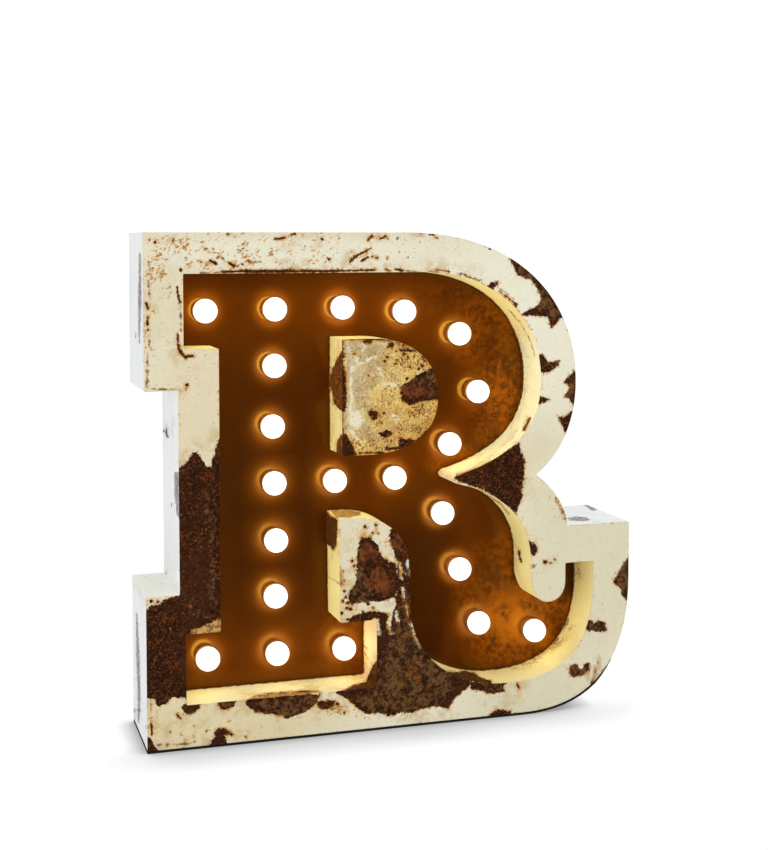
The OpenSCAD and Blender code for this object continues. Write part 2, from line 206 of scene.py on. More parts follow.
# ---- wear ---------------------------------------------------------------------------------
# Worn places, drawn as simple shapes in the picture's frame and carried on to the surface that
# is seen there. A shape is a polygon; a stroke is (x, y, x, y, half width); a dot is (x, y, radius).
PATCH = {
    "face": [
        [(179, 468), (183, 465), (186, 463), (190, 457), (193, 453), (196.5, 452), (199, 455), (202, 460), (205, 464),
         (208, 467), (211.5, 467), (212, 459), (214, 457), (215, 450), (217, 443), (219, 438), (221, 433), (226, 433),
         (226, 617), (218, 619), (210, 623), (200, 628), (192, 630), (190, 632), (190, 698), (177, 698), (172, 698), (169, 700), (168, 703), (163, 705), (160, 707),
         (157, 705), (155, 701), (151, 699), (147, 698), (141, 696), (141, 612), (147, 612), (149, 606), (155, 605),
         (159, 604), (164, 600), (168, 598.5), (179, 595), (174, 592), (174, 470)],
        [(143, 737), (150, 737), (152, 742), (155, 746), (158, 750), (158, 757), (138, 757), (138, 737)],
        [(211, 754), (210, 744), (212, 739), (215, 736), (214.5, 733), (216, 729), (219, 728), (226, 729), (230, 732),
         (234, 735), (228, 735.5), (225, 736), (226.5, 740), (227, 744), (226, 754)],
        [(183, 703), (187, 704), (187, 698), (201, 698), (200, 708), (196, 712), (192, 714), (188, 715), (184, 712),
         (182, 708)],
        [(217, 700), (237, 700), (233, 707), (229, 709), (220, 709), (218, 706)],
        [(244, 703), (250, 698), (262, 697), (290, 695), (310, 694), (321, 693), (318, 701), (315, 705), (310, 709),
         (303, 713), (296, 716), (290, 717), (286, 718.5), (284, 716), (272, 715), (262, 713), (254, 711), (249, 708)],
        [(335, 693), (345, 687), (372, 683), (372, 648), (374, 640), (374, 630), (373, 622), (384, 618), (388, 626),
         (391, 633), (400, 630), (406, 632), (411, 640), (416, 648), (422, 648), (428, 652), (436, 660), (446, 668),
         (458, 676), (470, 680), (471, 686), (463, 691), (456, 698), (452, 703), (448, 708), (440, 707), (434, 706),
         (428, 708), (420, 710), (412, 713), (400, 713), (388, 716), (380, 713), (366, 714), (358, 709), (350, 701),
         (344, 697)],
        [(362, 531), (364, 537), (369, 537), (373, 540), (377, 545), (379, 550), (382, 556), (386, 559), (390, 562),
         (395, 563), (397, 568), (398, 575), (399, 585), (398, 592), (394, 597), (388, 600), (380, 601), (372, 602),
         (364, 602), (357, 603), (352, 606), (349, 602), (348, 597), (349, 592), (353, 587), (356, 582), (356, 575),
         (356, 567), (357, 558), (357.5, 549), (359, 542), (361, 537)],
        [(391, 529), (389, 536), (391, 544), (394, 552), (396, 560), (397, 570), (397, 582), (398, 590), (395, 598),
         (396, 606), (392, 613), (392, 622), (388, 630), (394, 640), (420, 652), (426, 648), (418, 618), (414, 600),
         (412, 560), (406, 542), (398, 526)],
        [(345, 620), (352, 617), (358, 614), (366, 612), (374, 611), (380, 612), (386, 613), (389, 617), (386, 622),
         (384, 626), (380, 622), (376, 618), (371, 621), (362, 623), (352, 624)],
        [(508, 253), (520, 259), (532, 268), (543, 279), (553, 291), (561, 302), (568, 316), (560, 319), (556, 324),
         (552, 328), (549, 323), (547, 317), (538, 316), (528, 316), (520, 315), (525, 312), (529, 309), (534, 308),
         (538, 305), (541, 299), (540, 294), (537, 289), (534, 284), (530, 280), (524, 278), (518, 276), (515, 270),
         (512, 264)],
        [(486, 287), (490, 284), (498, 281), (497, 285), (492, 291), (488, 290)],
        [(532, 356), (536, 356), (538, 361), (539, 355), (543, 354), (546, 358), (547, 362), (553, 362), (557, 360),
         (560, 361), (559, 365), (554, 369), (550, 372), (546, 373), (540, 371), (536, 368), (533, 364)],
        [(582, 370), (573, 371), (570, 375), (566, 379), (564, 382), (568, 385), (570, 388), (567, 392), (564, 397),
         (569, 399), (571, 402), (573, 407), (582, 407)],
        [(536, 394), (540, 396), (545, 398), (550, 400), (546, 401), (543, 403), (541, 404.5), (536, 404)],
        [(558, 416), (563, 417), (567, 415), (570, 411), (580, 411), (574, 427), (566, 434), (563, 427), (560, 422)],
        [(452, 477), (470, 470), (490, 460), (505, 451), (519, 443), (521, 452), (525, 460), (524, 475), (523, 485),
         (522, 491), (523, 497), (519, 506), (516, 514), (508, 507), (498, 499), (485, 491), (470, 485), (458, 481)],
        [(528, 541), (533, 542), (537, 546), (537, 552), (535, 556), (531, 557), (529, 552), (530, 547)],
        [(634, 548), (628, 557), (622, 565), (617, 575), (613.5, 582), (617, 586.5), (620, 588), (622, 595), (627, 601),
         (634, 606)],
        [(584, 626), (587, 621), (590, 620), (594, 623), (598, 620), (602, 621), (606, 624), (607, 630), (600, 632),
         (594, 631), (589, 632), (586, 629)],
        [(569, 667), (572, 664), (576, 664), (579, 668), (582, 670), (584, 665), (588, 663), (590, 665), (590, 670),
         (586, 674), (582, 675), (578, 676), (574, 677), (570, 676), (569, 672)],
        [(488, 720), (490, 714), (494, 711), (499, 709), (505, 710), (511, 711), (511, 720)],
        [(470, 681), (480, 682), (492, 682), (506, 683), (504, 688), (506, 691), (500, 693), (494, 694), (487, 693),
         (480, 691), (473, 690), (470, 688)],
        [(317, 704), (320, 700), (325, 701), (330, 700), (335, 701), (333, 706), (328, 709), (322, 710), (318, 709)],
        (177, 714, 181, 719, 1.0), (517, 684, 519, 688, 0.8),
        (275, 239, 285, 238, 1.0), (291, 235, 295, 233, 0.9), (368, 240, 372, 236, 1.0), (380, 239, 386, 236, 1.0),
        (350, 262, 355, 257, 1.2), (355, 257, 371, 248, 0.9), (361, 261, 368, 257, 0.9), (210, 260, 216, 264, 1.4),
        (229, 263, 234, 266, 1.4), (222, 272, 245, 271, 1.1), (245, 271.5, 290, 271.2, 1.7), (290, 271.2, 336, 271, 1.3), (336, 271, 375, 270, 1.0),
        (386, 269, 390, 271, 0.8), (395, 269, 402, 270.5, 1.1), (430, 272, 443, 273.6, 0.4), (446, 274.6, 453, 276, 0.45),
        (455, 277, 462, 278.6, 0.45), (466, 280, 480, 284.6, 0.45), (436, 269.6, 449, 271.4, 0.35), (464, 275.6, 480, 280.6, 0.4),
        (481, 285, 490, 289, 0.5), (499, 291, 517, 304.6, 0.45), (502, 296.6, 516, 308, 0.35), (177, 287, 178, 294, 1.1), (178, 294, 180, 302, 1.0),
        (178, 335, 178, 341, 1.0), (178, 345, 179, 349, 0.9), (180, 352, 186, 358, 1.4), (186, 357, 193, 356, 1.1),
        (146, 303, 148, 309, 1.1), (148, 316, 147, 325, 0.9), (151, 724, 152, 734, 1.0),
        (148, 330, 1.4), (421, 234, 1.2), (322, 239, 1.3), (155, 242, 1.7), (228, 234, 1.2), (329, 259, 1.4),
        (181, 270, 1.6), (187, 385, 1.7), (201, 262, 1.0), (248, 261, 1.1), (242, 264, 0.9), (372, 257, 0.9),
        (377, 258, 1.1), (387, 258, 0.9), (173, 240, 1.2), (205, 249, 1.2), (545, 562, 2.2), (550, 563, 0.7),
        (555, 560, 0.8), (534, 566, 0.8), (151, 601, 1.8), (158, 602, 1.3), (147, 609, 1.2), (337, 704, 1.5),
        (338, 712, 1.0), (344, 713, 0.9), (342, 613, 2.2), (347, 608, 1.5), (363, 612, 1.4), (368, 604, 1.9),
        (373, 608, 1.2), (352, 561, 1.2), (354, 566, 1.6), (346, 597, 1.5), (344, 591, 1.3), (343, 601, 1.4),
        (348, 603, 1.4), (351, 609, 1.5), (365, 527, 1.6), (376, 525, 1.7), (373, 533, 1.1), (378, 533, 0.9),
        (170, 732, 0.35), (181, 735, 0.4), (186, 739, 0.35), (194, 737, 0.35), (194, 726, 0.45), (207, 731, 0.3),
        (246, 737, 0.5), (262, 728, 0.3), (229, 722, 0.3), (592.5, 683.5, 1.0)],
    "island": [
        [(400, 387), (404, 384), (409, 381), (414, 377), (420, 373), (426, 371), (429, 368), (442, 364), (444, 400),
         (436, 400), (430, 401), (424, 402), (416, 403), (410, 406), (406, 403), (402, 401), (401, 395)],
        [(399, 436), (402, 438), (405, 440), (410, 438), (415, 440), (412, 446), (404, 450), (400, 451), (399, 444)],
        [(340, 430), (347, 435), (351, 441), (354, 448), (356, 455), (354, 460), (338, 460)],
        [(378, 433), (382, 431), (387, 430), (393, 432), (391, 436), (386, 438), (381, 436)],
        [(362, 341), (368, 338), (377, 338), (372, 343), (366, 344)],
        [(369.4, 412), (371, 410.4), (376.6, 410.4), (378.4, 412.4), (378.4, 417.4), (376.6, 419.6), (371.4, 419.6), (369.4, 417.6)],
        [(340, 362), (344, 366), (346, 376), (346.5, 386), (346.5, 396), (346, 403), (345, 411), (340, 415)],
        (350, 339, 400, 339.5, 0.7), (400, 350, 412, 351, 1.2), (404, 342, 418, 348, 1.0), (418, 348, 428, 359, 1.2),
        (386, 449, 400, 448, 1.4), (360, 453, 384, 453, 0.8), (416, 441, 430, 428, 0.8),
        (342.6, 340, 342.6, 366, 0.7), (342.6, 414, 342.6, 436, 0.7), (391, 345, 3.0), (387, 357, 1.5), (385, 361, 1.3), (403, 345, 1.0), (410, 367, 1.3),
        (396, 364, 1.2), (422, 366, 1.8), (425, 361, 1.2), (419, 369, 1.3), (407, 379, 1.3), (369, 376, 0.9),
        (354, 354, 1.1), (387, 447, 1.6), (396, 351, 1.1), (404, 354, 1.5), (388, 347, 1.1), (414, 357, 1.0),
        (384, 413, 1.1), (344, 356, 1.2), (408, 357, 1.0), (423, 357, 1.1)],
    "wall": [
        [(340, 693), (352, 686), (360, 683), (366, 682), (378, 680), (382, 692), (340, 696)],
        [(366, 684), (368, 676), (371, 670), (373, 665), (379, 658), (380, 692), (366, 692)],
        [(443, 671), (452, 672), (460, 672), (464, 670), (470, 672), (475, 673), (480, 677), (486, 679), (491, 680),
         (493, 686), (480, 686), (465, 684), (452, 679)],
        [(325, 509), (330, 516), (338, 519), (337.5, 530), (337, 540), (335, 549), (332, 550), (330, 546), (327, 545),
         (323, 546)],
        [(518, 549), (520, 551), (521, 557), (523, 563), (520, 562), (518, 556)],
        (524, 430, 530, 418, 0.8), (458, 475.5, 480, 468.5, 0.7), (480, 468.5, 500, 457.5, 0.7),
        (500, 457.5, 518, 444.5, 0.7), (250, 698.5, 257, 696, 0.3), (257, 696, 272, 693.6, 0.35), (272, 693.6, 290, 692, 0.4),
        (290, 692, 310, 691, 0.4), (310, 691, 318, 691.6, 0.4)],
    "island_wall": [
        [(329, 378), (333, 367), (338, 357), (342, 351), (345, 352), (345, 412), (339, 409), (334, 404), (332, 393),
         (329, 386)],
        [(336, 452), (337, 442), (340, 435), (345, 433), (345, 460), (333, 452)]],
    "side": [(161, 430, 166, 432, 0.5), (167, 429, 166, 432, 0.5), (166, 432, 168, 437, 0.5), (133.5, 710.5, 0.8),
             (139, 710, 1.0)],
}
# Thinner wear: brown stain that still shows some paint.
STAIN = {
    "face": [
        [(186, 633), (190, 627), (200, 623), (210, 618), (218, 613), (228, 612), (228, 636), (186, 637)],
        [(404, 624), (410, 628), (416, 640), (424, 650), (415, 650), (408, 640)],
        (592, 686, 594, 676, 1.0), (594, 677, 598, 662, 0.45), (596, 681, 603, 669, 0.55), (589, 690, 597, 683, 0.9),
        [(340, 566), (344, 570), (345, 584), (341, 590), (339, 580)],
        [(555, 494), (560, 502), (565, 512), (568, 522), (563, 520), (560, 510), (556, 502)],
        (149, 262, 150, 270, 1.0), (148, 280, 150, 300, 0.7), (149, 335, 149, 346, 0.8), (148, 355, 147, 366, 0.8),
        (147, 370, 147, 388, 1.3), (150, 389, 178, 389.5, 0.7), (180, 302, 181, 330, 0.8), (200, 273, 222, 272.5, 0.7),
        (402, 270.5, 420, 271.5, 0.7), (456, 273, 467, 275, 0.7), (500, 289, 516, 301, 0.6), (518, 311, 522, 316, 0.8),
        (150, 714, 151, 722, 0.8), (158, 745, 185, 744, 1.1), (185, 744, 195, 742, 0.9), (170, 287, 1.5),
        (185, 389, 1.8), (176, 389, 1.2), (213, 249, 1.2), (399, 252, 1.0), (408, 257, 0.8), (388, 238, 1.0),
        (398, 238, 1.0), (260, 262, 1.0), (150, 240, 1.2), (186, 258, 1.0), (304, 249, 1.0), (303, 235, 0.9),
        (150, 690, 151, 712, 0.8), (205, 262, 212, 262, 0.9), (222, 258, 226, 262, 1.0), (433, 235, 437, 238, 1.2)],
    "island": [(375.6, 413.6, 7.4), [(376, 420), (384, 421), (383, 426), (376, 427)],
               [(403, 388), (414, 389), (414, 400), (406, 399)]],
    "wall": [
        [(248, 700), (256, 696.5), (271, 694), (289, 692), (309, 691), (317, 691), (317, 696), (262, 701)],
        [(330, 510.5), (350, 509.5), (360, 512), (361, 515), (350, 517.5), (336, 518)],
        [(456, 474), (480, 468), (500, 457), (518, 443), (521, 446), (500, 461), (480, 472), (458, 479)],
        (478, 490, 500, 503, 0.8), (500, 503, 509, 514, 0.8), (328, 576, 339, 584, 0.5), (362, 642, 368, 650, 0.5),
        (508, 309, 520, 322, 0.5), (521, 324, 531, 342, 0.5), (531, 342, 535, 356, 0.4), (364, 652, 372, 664, 0.5)],
    "island_wall": [],
    "side": [
        [(139, 252), (141, 254), (141.5, 300), (140, 344), (138.5, 342), (138, 300)],
        [(136, 612), (137.5, 614), (140, 660), (140.5, 700), (139.5, 724), (137.5, 722), (137.5, 690), (136, 650)],
        [(174, 472), (182, 472), (182, 523), (177, 516), (174.5, 495)],
        [(567, 518), (575, 516.5), (585, 517), (591, 520), (582, 521.5), (570, 520.5)],
        [(581, 503.4), (591, 502.4), (601, 508), (593, 511)],
        (166, 573, 1.3)],
}
# Bare metal of a warmer and of a more olive rust, paint left on it, and ochre clouds in the paint.
WARM = {
    "face": [
        [(362, 540), (368, 541), (376, 548), (379, 554), (372, 559), (360, 561), (358, 552)],
        [(375, 566), (380, 568), (385, 572), (390, 577), (395, 583), (394, 588), (390, 592), (384, 595), (380, 592),
         (375, 588), (368, 586), (366, 583), (370, 578), (373, 572)],
        [(391, 532), (398, 535), (404, 545), (408, 556), (400, 552), (394, 545)],
        [(402, 594), (408, 592), (410, 605), (410, 622), (404, 620)],
        (205, 490, 208, 498, 1.2), (203, 478, 207, 484, 1.0), (412, 668, 418, 678, 3.0)],
    "island": [[(402, 388), (412, 385), (432, 387), (436, 394), (424, 396), (408, 398)]],
}
OLIVE = {
    "face": [
        [(352, 574), (362, 570), (368, 580), (372, 592), (366, 602), (352, 604)],
        [(392, 632), (404, 636), (420, 650), (440, 664), (458, 678), (450, 698), (430, 705), (404, 711), (370, 711),
         (354, 700), (372, 694), (382, 676), (384, 656)],
        [(252, 701), (320, 697), (312, 708), (290, 716), (260, 711)],
        [(508, 258), (530, 272), (548, 296), (562, 316), (550, 322), (534, 292)],
        [(586, 619), (608, 619), (608, 633), (586, 633)], [(569, 663), (592, 662), (592, 678), (569, 678)],
        [(617, 562), (634, 554), (634, 598), (620, 590)], (536, 364, 556, 364, 3.0), (570, 402, 573, 376, 2.5),
        (484, 687, 500, 688, 2.6), (220, 705, 234, 704, 2.0),
        (206, 505, 212, 523, 0.4), (212, 523, 212, 554, 0.7), (212, 554, 213, 594, 0.5), (213, 594, 209, 614, 0.5),
        (198, 622, 208, 617, 1.2), (190, 606, 200, 612, 0.8),
        [(398, 604), (410, 600), (414, 622), (420, 646), (404, 640), (394, 634), (394, 618)]],
    "island": [[(404, 386), (420, 375), (440, 367), (442, 384), (420, 384)]],
}
LEFT = {
    "face": [
        (411, 624, 414, 634, 0.8), (413, 634, 420, 648, 0.8), (377, 621, 379, 634, 0.7), (400, 564, 401, 578, 1.0),
        (408, 561, 409, 574, 0.5), (396, 560, 402, 572, 0.5), (363, 536, 1.4), (386, 606, 393, 603, 2.0),
        (403, 588, 405, 600, 0.6), (396, 612, 398, 621, 0.6), (388, 626, 392, 634, 0.6), (406, 606, 408, 616, 0.5)],
    "island": [
        (355, 367, 363, 362, 0.8), (363, 362, 375, 357, 0.8), (352, 354, 358, 361, 0.6), (352, 367, 350, 382, 0.8),
        (350, 382, 352, 400, 0.8), (352, 400, 350, 411, 0.8), [(350, 412), (358, 411), (363, 420), (359, 428), (350, 426)],
        (379, 369, 383, 377, 0.5), (383, 384, 396, 385, 0.8), (394, 416, 398, 419, 1.2), (345, 344, 352, 354, 0.6),
        (366, 345, 362, 351, 0.4), (350, 430, 358, 440, 0.6)],
}
OCHRE = {
    "island": [
        [(371, 390), (381, 388), (390, 396), (384, 406), (374, 404)], [(384, 356), (398, 358), (400, 366), (388, 366)],
        [(398, 404), (430, 402), (434, 412), (420, 432), (402, 436), (386, 424)], [(378, 424), (398, 424), (396, 448), (372, 450)],
        (376, 413, 9.0), [(366, 396), (376, 394), (377, 402), (368, 403)]],
}
BEIGE = {
    "island": [
        [(356, 349), (365, 344), (382, 345), (385, 351), (382, 356), (371, 357), (362, 360), (358, 357)],
        [(363, 365), (372, 359), (386, 356), (388, 361), (382, 367), (374, 373), (365, 371)],
        [(354, 380), (364, 374), (378, 375), (380, 383), (371, 390), (368, 399), (358, 402), (354, 396), (353, 387)],
        [(356, 404), (366, 402), (369, 407), (364, 410), (357, 409)], (347, 347, 352, 350, 1.6), (348, 372, 349, 360, 1.2),
        [(362, 424), (372, 427), (380, 440), (372, 446), (360, 438)]],
}
# Where fine specks gather: an ellipse (x, y, half width, half height, density).
SPECKS = {
    "face": [(215, 254, 75, 17, 1.15), (160, 265, 18, 32, 1.0), (300, 250, 60, 16, 0.75), (400, 244, 60, 12, 0.5),
             (150, 330, 10, 70, 0.7), (165, 604, 20, 9, 1.0), (350, 600, 12, 18, 0.8), (330, 705, 16, 9, 1.0),
             (200, 735, 60, 14, 0.10), (370, 714, 40, 6, 0.7), (200, 370, 30, 40, 0.25), (560, 560, 60, 60, 0.15),
             (390, 540, 14, 16, 0.8), (346, 596, 9, 14, 1.2), (330, 705, 14, 8, 1.3)],
    "island": [(410, 353, 30, 16, 1.15), (416, 420, 26, 24, 1.05), (384, 444, 44, 12, 1.0), (378, 362, 18, 12, 0.75),
               (362, 395, 14, 24, 0.30), (392, 400, 16, 20, 0.7), (396, 375, 16, 12, 0.55)],
    "wall": [(568, 640, 22, 28, 1.2), (540, 662, 34, 14, 1.0), (525, 350, 14, 70, 0.6), (280, 688, 110, 12, 0.45),
             (585, 570, 12, 16, 1.2), (510, 440, 40, 30, 0.35)],
    "island_wall": [(336, 400, 10, 60, 0.6)],
    "side": [(150, 585, 20, 10, 0.4)],
}
TONES = {"warm": WARM, "olive": OLIVE, "left": LEFT, "ochre": OCHRE, "beige": BEIGE}
PX_MM = 0.735                                   # size of a pixel on the letter, roughly


def wear_distance(uv, shapes):
    """Signed distance in millimetres to the nearest worn place, below zero inside."""
    best = np.full(len(uv), 60.0)
    for s in shapes:
        if isinstance(s, list):
            p = np.array(s, float)
            lo, hi = p.min(0) - 22, p.max(0) + 22
            near = np.flatnonzero(((uv > lo) & (uv < hi)).all(1))
            if not len(near):
                continue
            d = far_from(uv[near], p)
            d[inside(uv[near], p)] *= -1
        else:
            a, b = np.array(s[:2], float), np.array(s[2:4] if len(s) == 5 else s[:2], float)
            near = np.flatnonzero(((uv > np.minimum(a, b) - 14) & (uv < np.maximum(a, b) + 14)).all(1))
            if not len(near):
                continue
            d = far_from(uv[near], np.array((a, b)), closed=False) - s[-1]
        best[near] = np.minimum(best[near], d * PX_MM)
    return best


def speck_density(uv, spots):
    out = np.zeros(len(uv))
    for x, y, a, b, k in spots:
        r = np.hypot((uv[:, 0] - x) / a, (uv[:, 1] - y) / b)
        out = np.maximum(out, k * np.clip(1.6 - r, 0, 1))
    return out


def fine_points(shapes, y):
    """Extra mesh points along the edges of worn places, so that they come out crisp."""
    out = []
    for s in shapes:
        if isinstance(s, list):
            p = dense(on_plane(s, y), 0.8)
            p = p if signed_area(p) > 0 else p[::-1]
            out.extend((moved(p, -0.55), p, moved(p, 0.55)))
        else:
            a = on_plane([s[:2]], y)[0]
            b = on_plane([s[2:4]], y)[0] if len(s) == 5 else a
            r, k = s[-1] * PX_MM, max(2, int(np.linalg.norm(b - a) / 0.7) + 1)
            side = np.array((-(b - a)[1], (b - a)[0]))
            side = side / max(np.linalg.norm(side), 1e-9)
            line = a + (b - a) * np.linspace(0, 1, k)[:, None]
            if len(s) == 5:
                out.extend((line, line + side * r, line - side * r, line + side * 2 * r, line - side * 2 * r))
            else:
                ring = np.stack((np.cos(np.arange(8) * math.pi / 4), np.sin(np.arange(8) * math.pi / 4)), 1)
                out.extend((line[:1], a + ring * r, a + ring * 1.8 * r))
    return np.concatenate(out) if out else np.zeros((0, 2))


# ---- meshes -------------------------------------------------------------------------------
class Shell:
    """Collects points and faces of one piece, in letter millimetres."""

    def __init__(self):
        self.points, self.faces, self.count = [], [], 0

    def add(self, p):
        p = np.asarray(p, float)
        self.points.append(p)
        self.count += len(p)
        return np.arange(self.count - len(p), self.count)

    def ring(self, path, y):
        return self.add(np.stack((path[:, 0], np.full(len(path), y), path[:, 1]), 1))

    def strip(self, a, b):
        a2, b2 = np.roll(a, -1), np.roll(b, -1)
        self.faces.extend(zip(a, a2, b2, b))

    def fill(self, loops, y, extra=None, back=False, holes=()):
        """Fills the region between closed rings with triangles. loops are rings of point numbers."""
        every = np.concatenate(self.points)
        rim = np.concatenate(loops)
        flat = [Vector(p) for p in every[rim][:, (0, 2)]]
        edges, start = [], 0
        for l in loops:
            n = len(l)
            edges.extend((start + i, start + (i + 1) % n) for i in range(n))
            start += n
        ids = list(rim)
        if extra is not None and len(extra):
            ids.extend(self.add(np.stack((extra[:, 0], np.full(len(extra), y), extra[:, 1]), 1)))
            flat.extend(Vector(p) for p in extra)
        got = delaunay_2d_cdt(flat, edges, [], 0, 1e-7)
        at = np.array([v[:] for v in got[0]])
        tri = np.array([f for f in got[2] if len(f) == 3])
        source = [o[0] if o else -1 for o in got[3]]
        mid = at[tri].mean(1)
        keep = inside(mid, every[loops[0]][:, (0, 2)])
        for l in loops[1:]:
            keep &= ~inside(mid, every[l][:, (0, 2)])
        for f in tri[keep]:
            q = [source[k] for k in f]
            if min(q) < 0 or len(set(q)) < 3:
                continue
            q = [ids[k] for k in q]
            self.faces.append(tuple(q[::-1]) if back else tuple(q))

    def build(self, name, attributes=None, sharp=38):
        every = np.concatenate(self.points)
        mesh = bpy.data.meshes.new(name)
        mesh.from_pydata(metres(every).tolist(), [], [tuple(int(i) for i in f) for f in self.faces])
        for key, values in (attributes or {}).items():
            layer = mesh.attributes.new(key, "FLOAT", "POINT")
            layer.data.foreach_set("value", np.asarray(values, np.float32))
        mesh.validate(clean_customdata=False)
        mesh.shade_smooth()
        mesh.set_sharp_from_angle(angle=math.radians(sharp))
        mesh.update()
        ob = bpy.data.objects.new(name, mesh)
        scene.collection.objects.link(ob)
        return ob


def piece(ob, material, slot, *nodes, body="letter"):
    ob.data.materials.clear()
    ob.data.materials.append(material)
    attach(ob, body)
    if nodes:
        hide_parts(*nodes)
    return ob


def wear_layers(points, group, shown=None):
    """Per-point wear values for one surface. Points that the picture doesn't show get none."""
    uv = to_pixels(points)
    dark, stain = wear_distance(uv, PATCH[group]), wear_distance(uv, STAIN[group])
    speck = speck_density(uv, SPECKS[group])
    more = {key: wear_distance(uv, shapes.get(group, [])) for key, shapes in TONES.items()}
    more["mark"] = wear_distance(uv, [s for s in PATCH[group] if isinstance(s, tuple)])
    if shown is not None:
        for layer in (dark, stain, *more.values()):
            layer[~shown] = 60.0
        speck[~shown] = 0.12
    return {"dark": dark, "stain": stain, "speck": speck, **more}


def grid_points(step, lo, hi):
    out, row, z = [], 0, lo[1]
    while z < hi[1]:
        out.append(np.stack((np.arange(lo[0] + (row % 2) * step / 2, hi[0], step),) * 2, 1))
        out[-1][:, 1] = z
        z, row = z + step * 0.866, row + 1
    return np.concatenate(out)


def thinned(p, cell):
    key = np.round(p / cell).astype(np.int64)
    return p[np.unique(key, axis=0, return_index=True)[1]]


EDGE = 0.7                                      # radius of the rounded sheet edge


def rounded_rim(shell, path, y_front, y_back, inwards):
    """Rings of a rounded sheet edge. inwards is -1 for an outer edge and 1 for the edge of a hole."""
    rings = [shell.ring(path, y_back)]
    for k in range(4):
        a = math.radians(30 * k)
        rings.append(shell.ring(moved(path, inwards * EDGE * (1 - math.cos(a))), y_front + EDGE * (1 - math.sin(a))))
    return rings


def sheet_face(name, outer, holes, group, step):
    """A flat front sheet with rounded edges and worn places."""
    shell = Shell()
    edges = [rounded_rim(shell, outer, Y_FRONT, Y_FRONT + SHEET, -1)]
    edges += [rounded_rim(shell, h, Y_FRONT, Y_FRONT + SHEET, 1) for h in holes]
    for n, rings in enumerate(edges):
        for a, b in zip(rings, rings[1:]):
            shell.strip(a, b) if n == 0 else shell.strip(b, a)
    lim = [moved(outer, -EDGE)] + [moved(h, EDGE) for h in holes]
    shapes = PATCH[group] + STAIN[group] + [s for t in TONES.values() for s in t.get(group, [])]
    extra = np.concatenate((fine_points(shapes, Y_FRONT), grid_points(step, outer.min(0), outer.max(0))))
    extra = thinned(extra, 0.32)
    keep = inside(extra, lim[0])
    for h in lim[1:]:
        keep &= ~inside(extra, h)
    extra = extra[keep]
    clear = np.min([far_from(extra, l) for l in lim], 0)
    extra = extra[clear > 0.45]
    shell.fill([r[-1] for r in edges], Y_FRONT, extra)
    shell.fill([r[0] for r in edges], Y_FRONT + SHEET, None, back=True)
    every = np.concatenate(shell.points)
    layers = wear_layers(every, group)
    rim = np.min([far_from(every[:, (0, 2)], l) for l in [outer] + list(holes)], 0)
    layers["edge"] = rim
    front = every[:, 1] < Y_FRONT + 0.05
    sunk = 0.14 * np.clip(-layers["dark"] / 0.7, 0, 1) * front
    shell.points = [every + np.stack((0 * sunk, sunk, 0 * sunk), 1)]
    return shell.build(name, layers)


def wall_ring(name, path, thick, y0, y1, group, rows, seen, lit=None):
    """A sheet wall that follows an outline from y0 to y1. thick is the way its hidden side lies."""
    shell = Shell()
    ys = np.linspace(y0, y1, rows + 1)
    outer = [shell.ring(path, y) for y in ys]
    inner = [shell.ring(moved(path, thick), y) for y in (y1, y0)]
    rings = outer + inner
    for a, b in zip(rings, rings[1:] + rings[:1]):
        shell.strip(b, a) if thick < 0 else shell.strip(a, b)
    every = np.concatenate(shell.points)
    n = len(path)
    d = np.roll(path, -1, 0) - np.roll(path, 1, 0)
    out = np.stack((d[:, 1], -d[:, 0]), 1) * (1 if thick < 0 else -1)
    out /= np.linalg.norm(out, axis=1)[:, None]
    normal = np.tile(np.stack((out[:, 0], 0 * out[:, 0], out[:, 1]), 1), (len(rings), 1))
    shown = ((EYE - every) * normal).sum(1) > 0
    if seen is not None:
        shown &= seen(every)
    shown[len(ys) * n:] = False
    layers = wear_layers(every, group, shown)
    layers["edge"] = y1 - every[:, 1]
    layers["deep"] = (every[:, 1] > 0.5 * (y0 + y1)).astype(float)
    layers["unseen"] = (~shown).astype(float)
    return shell.build(name, layers)


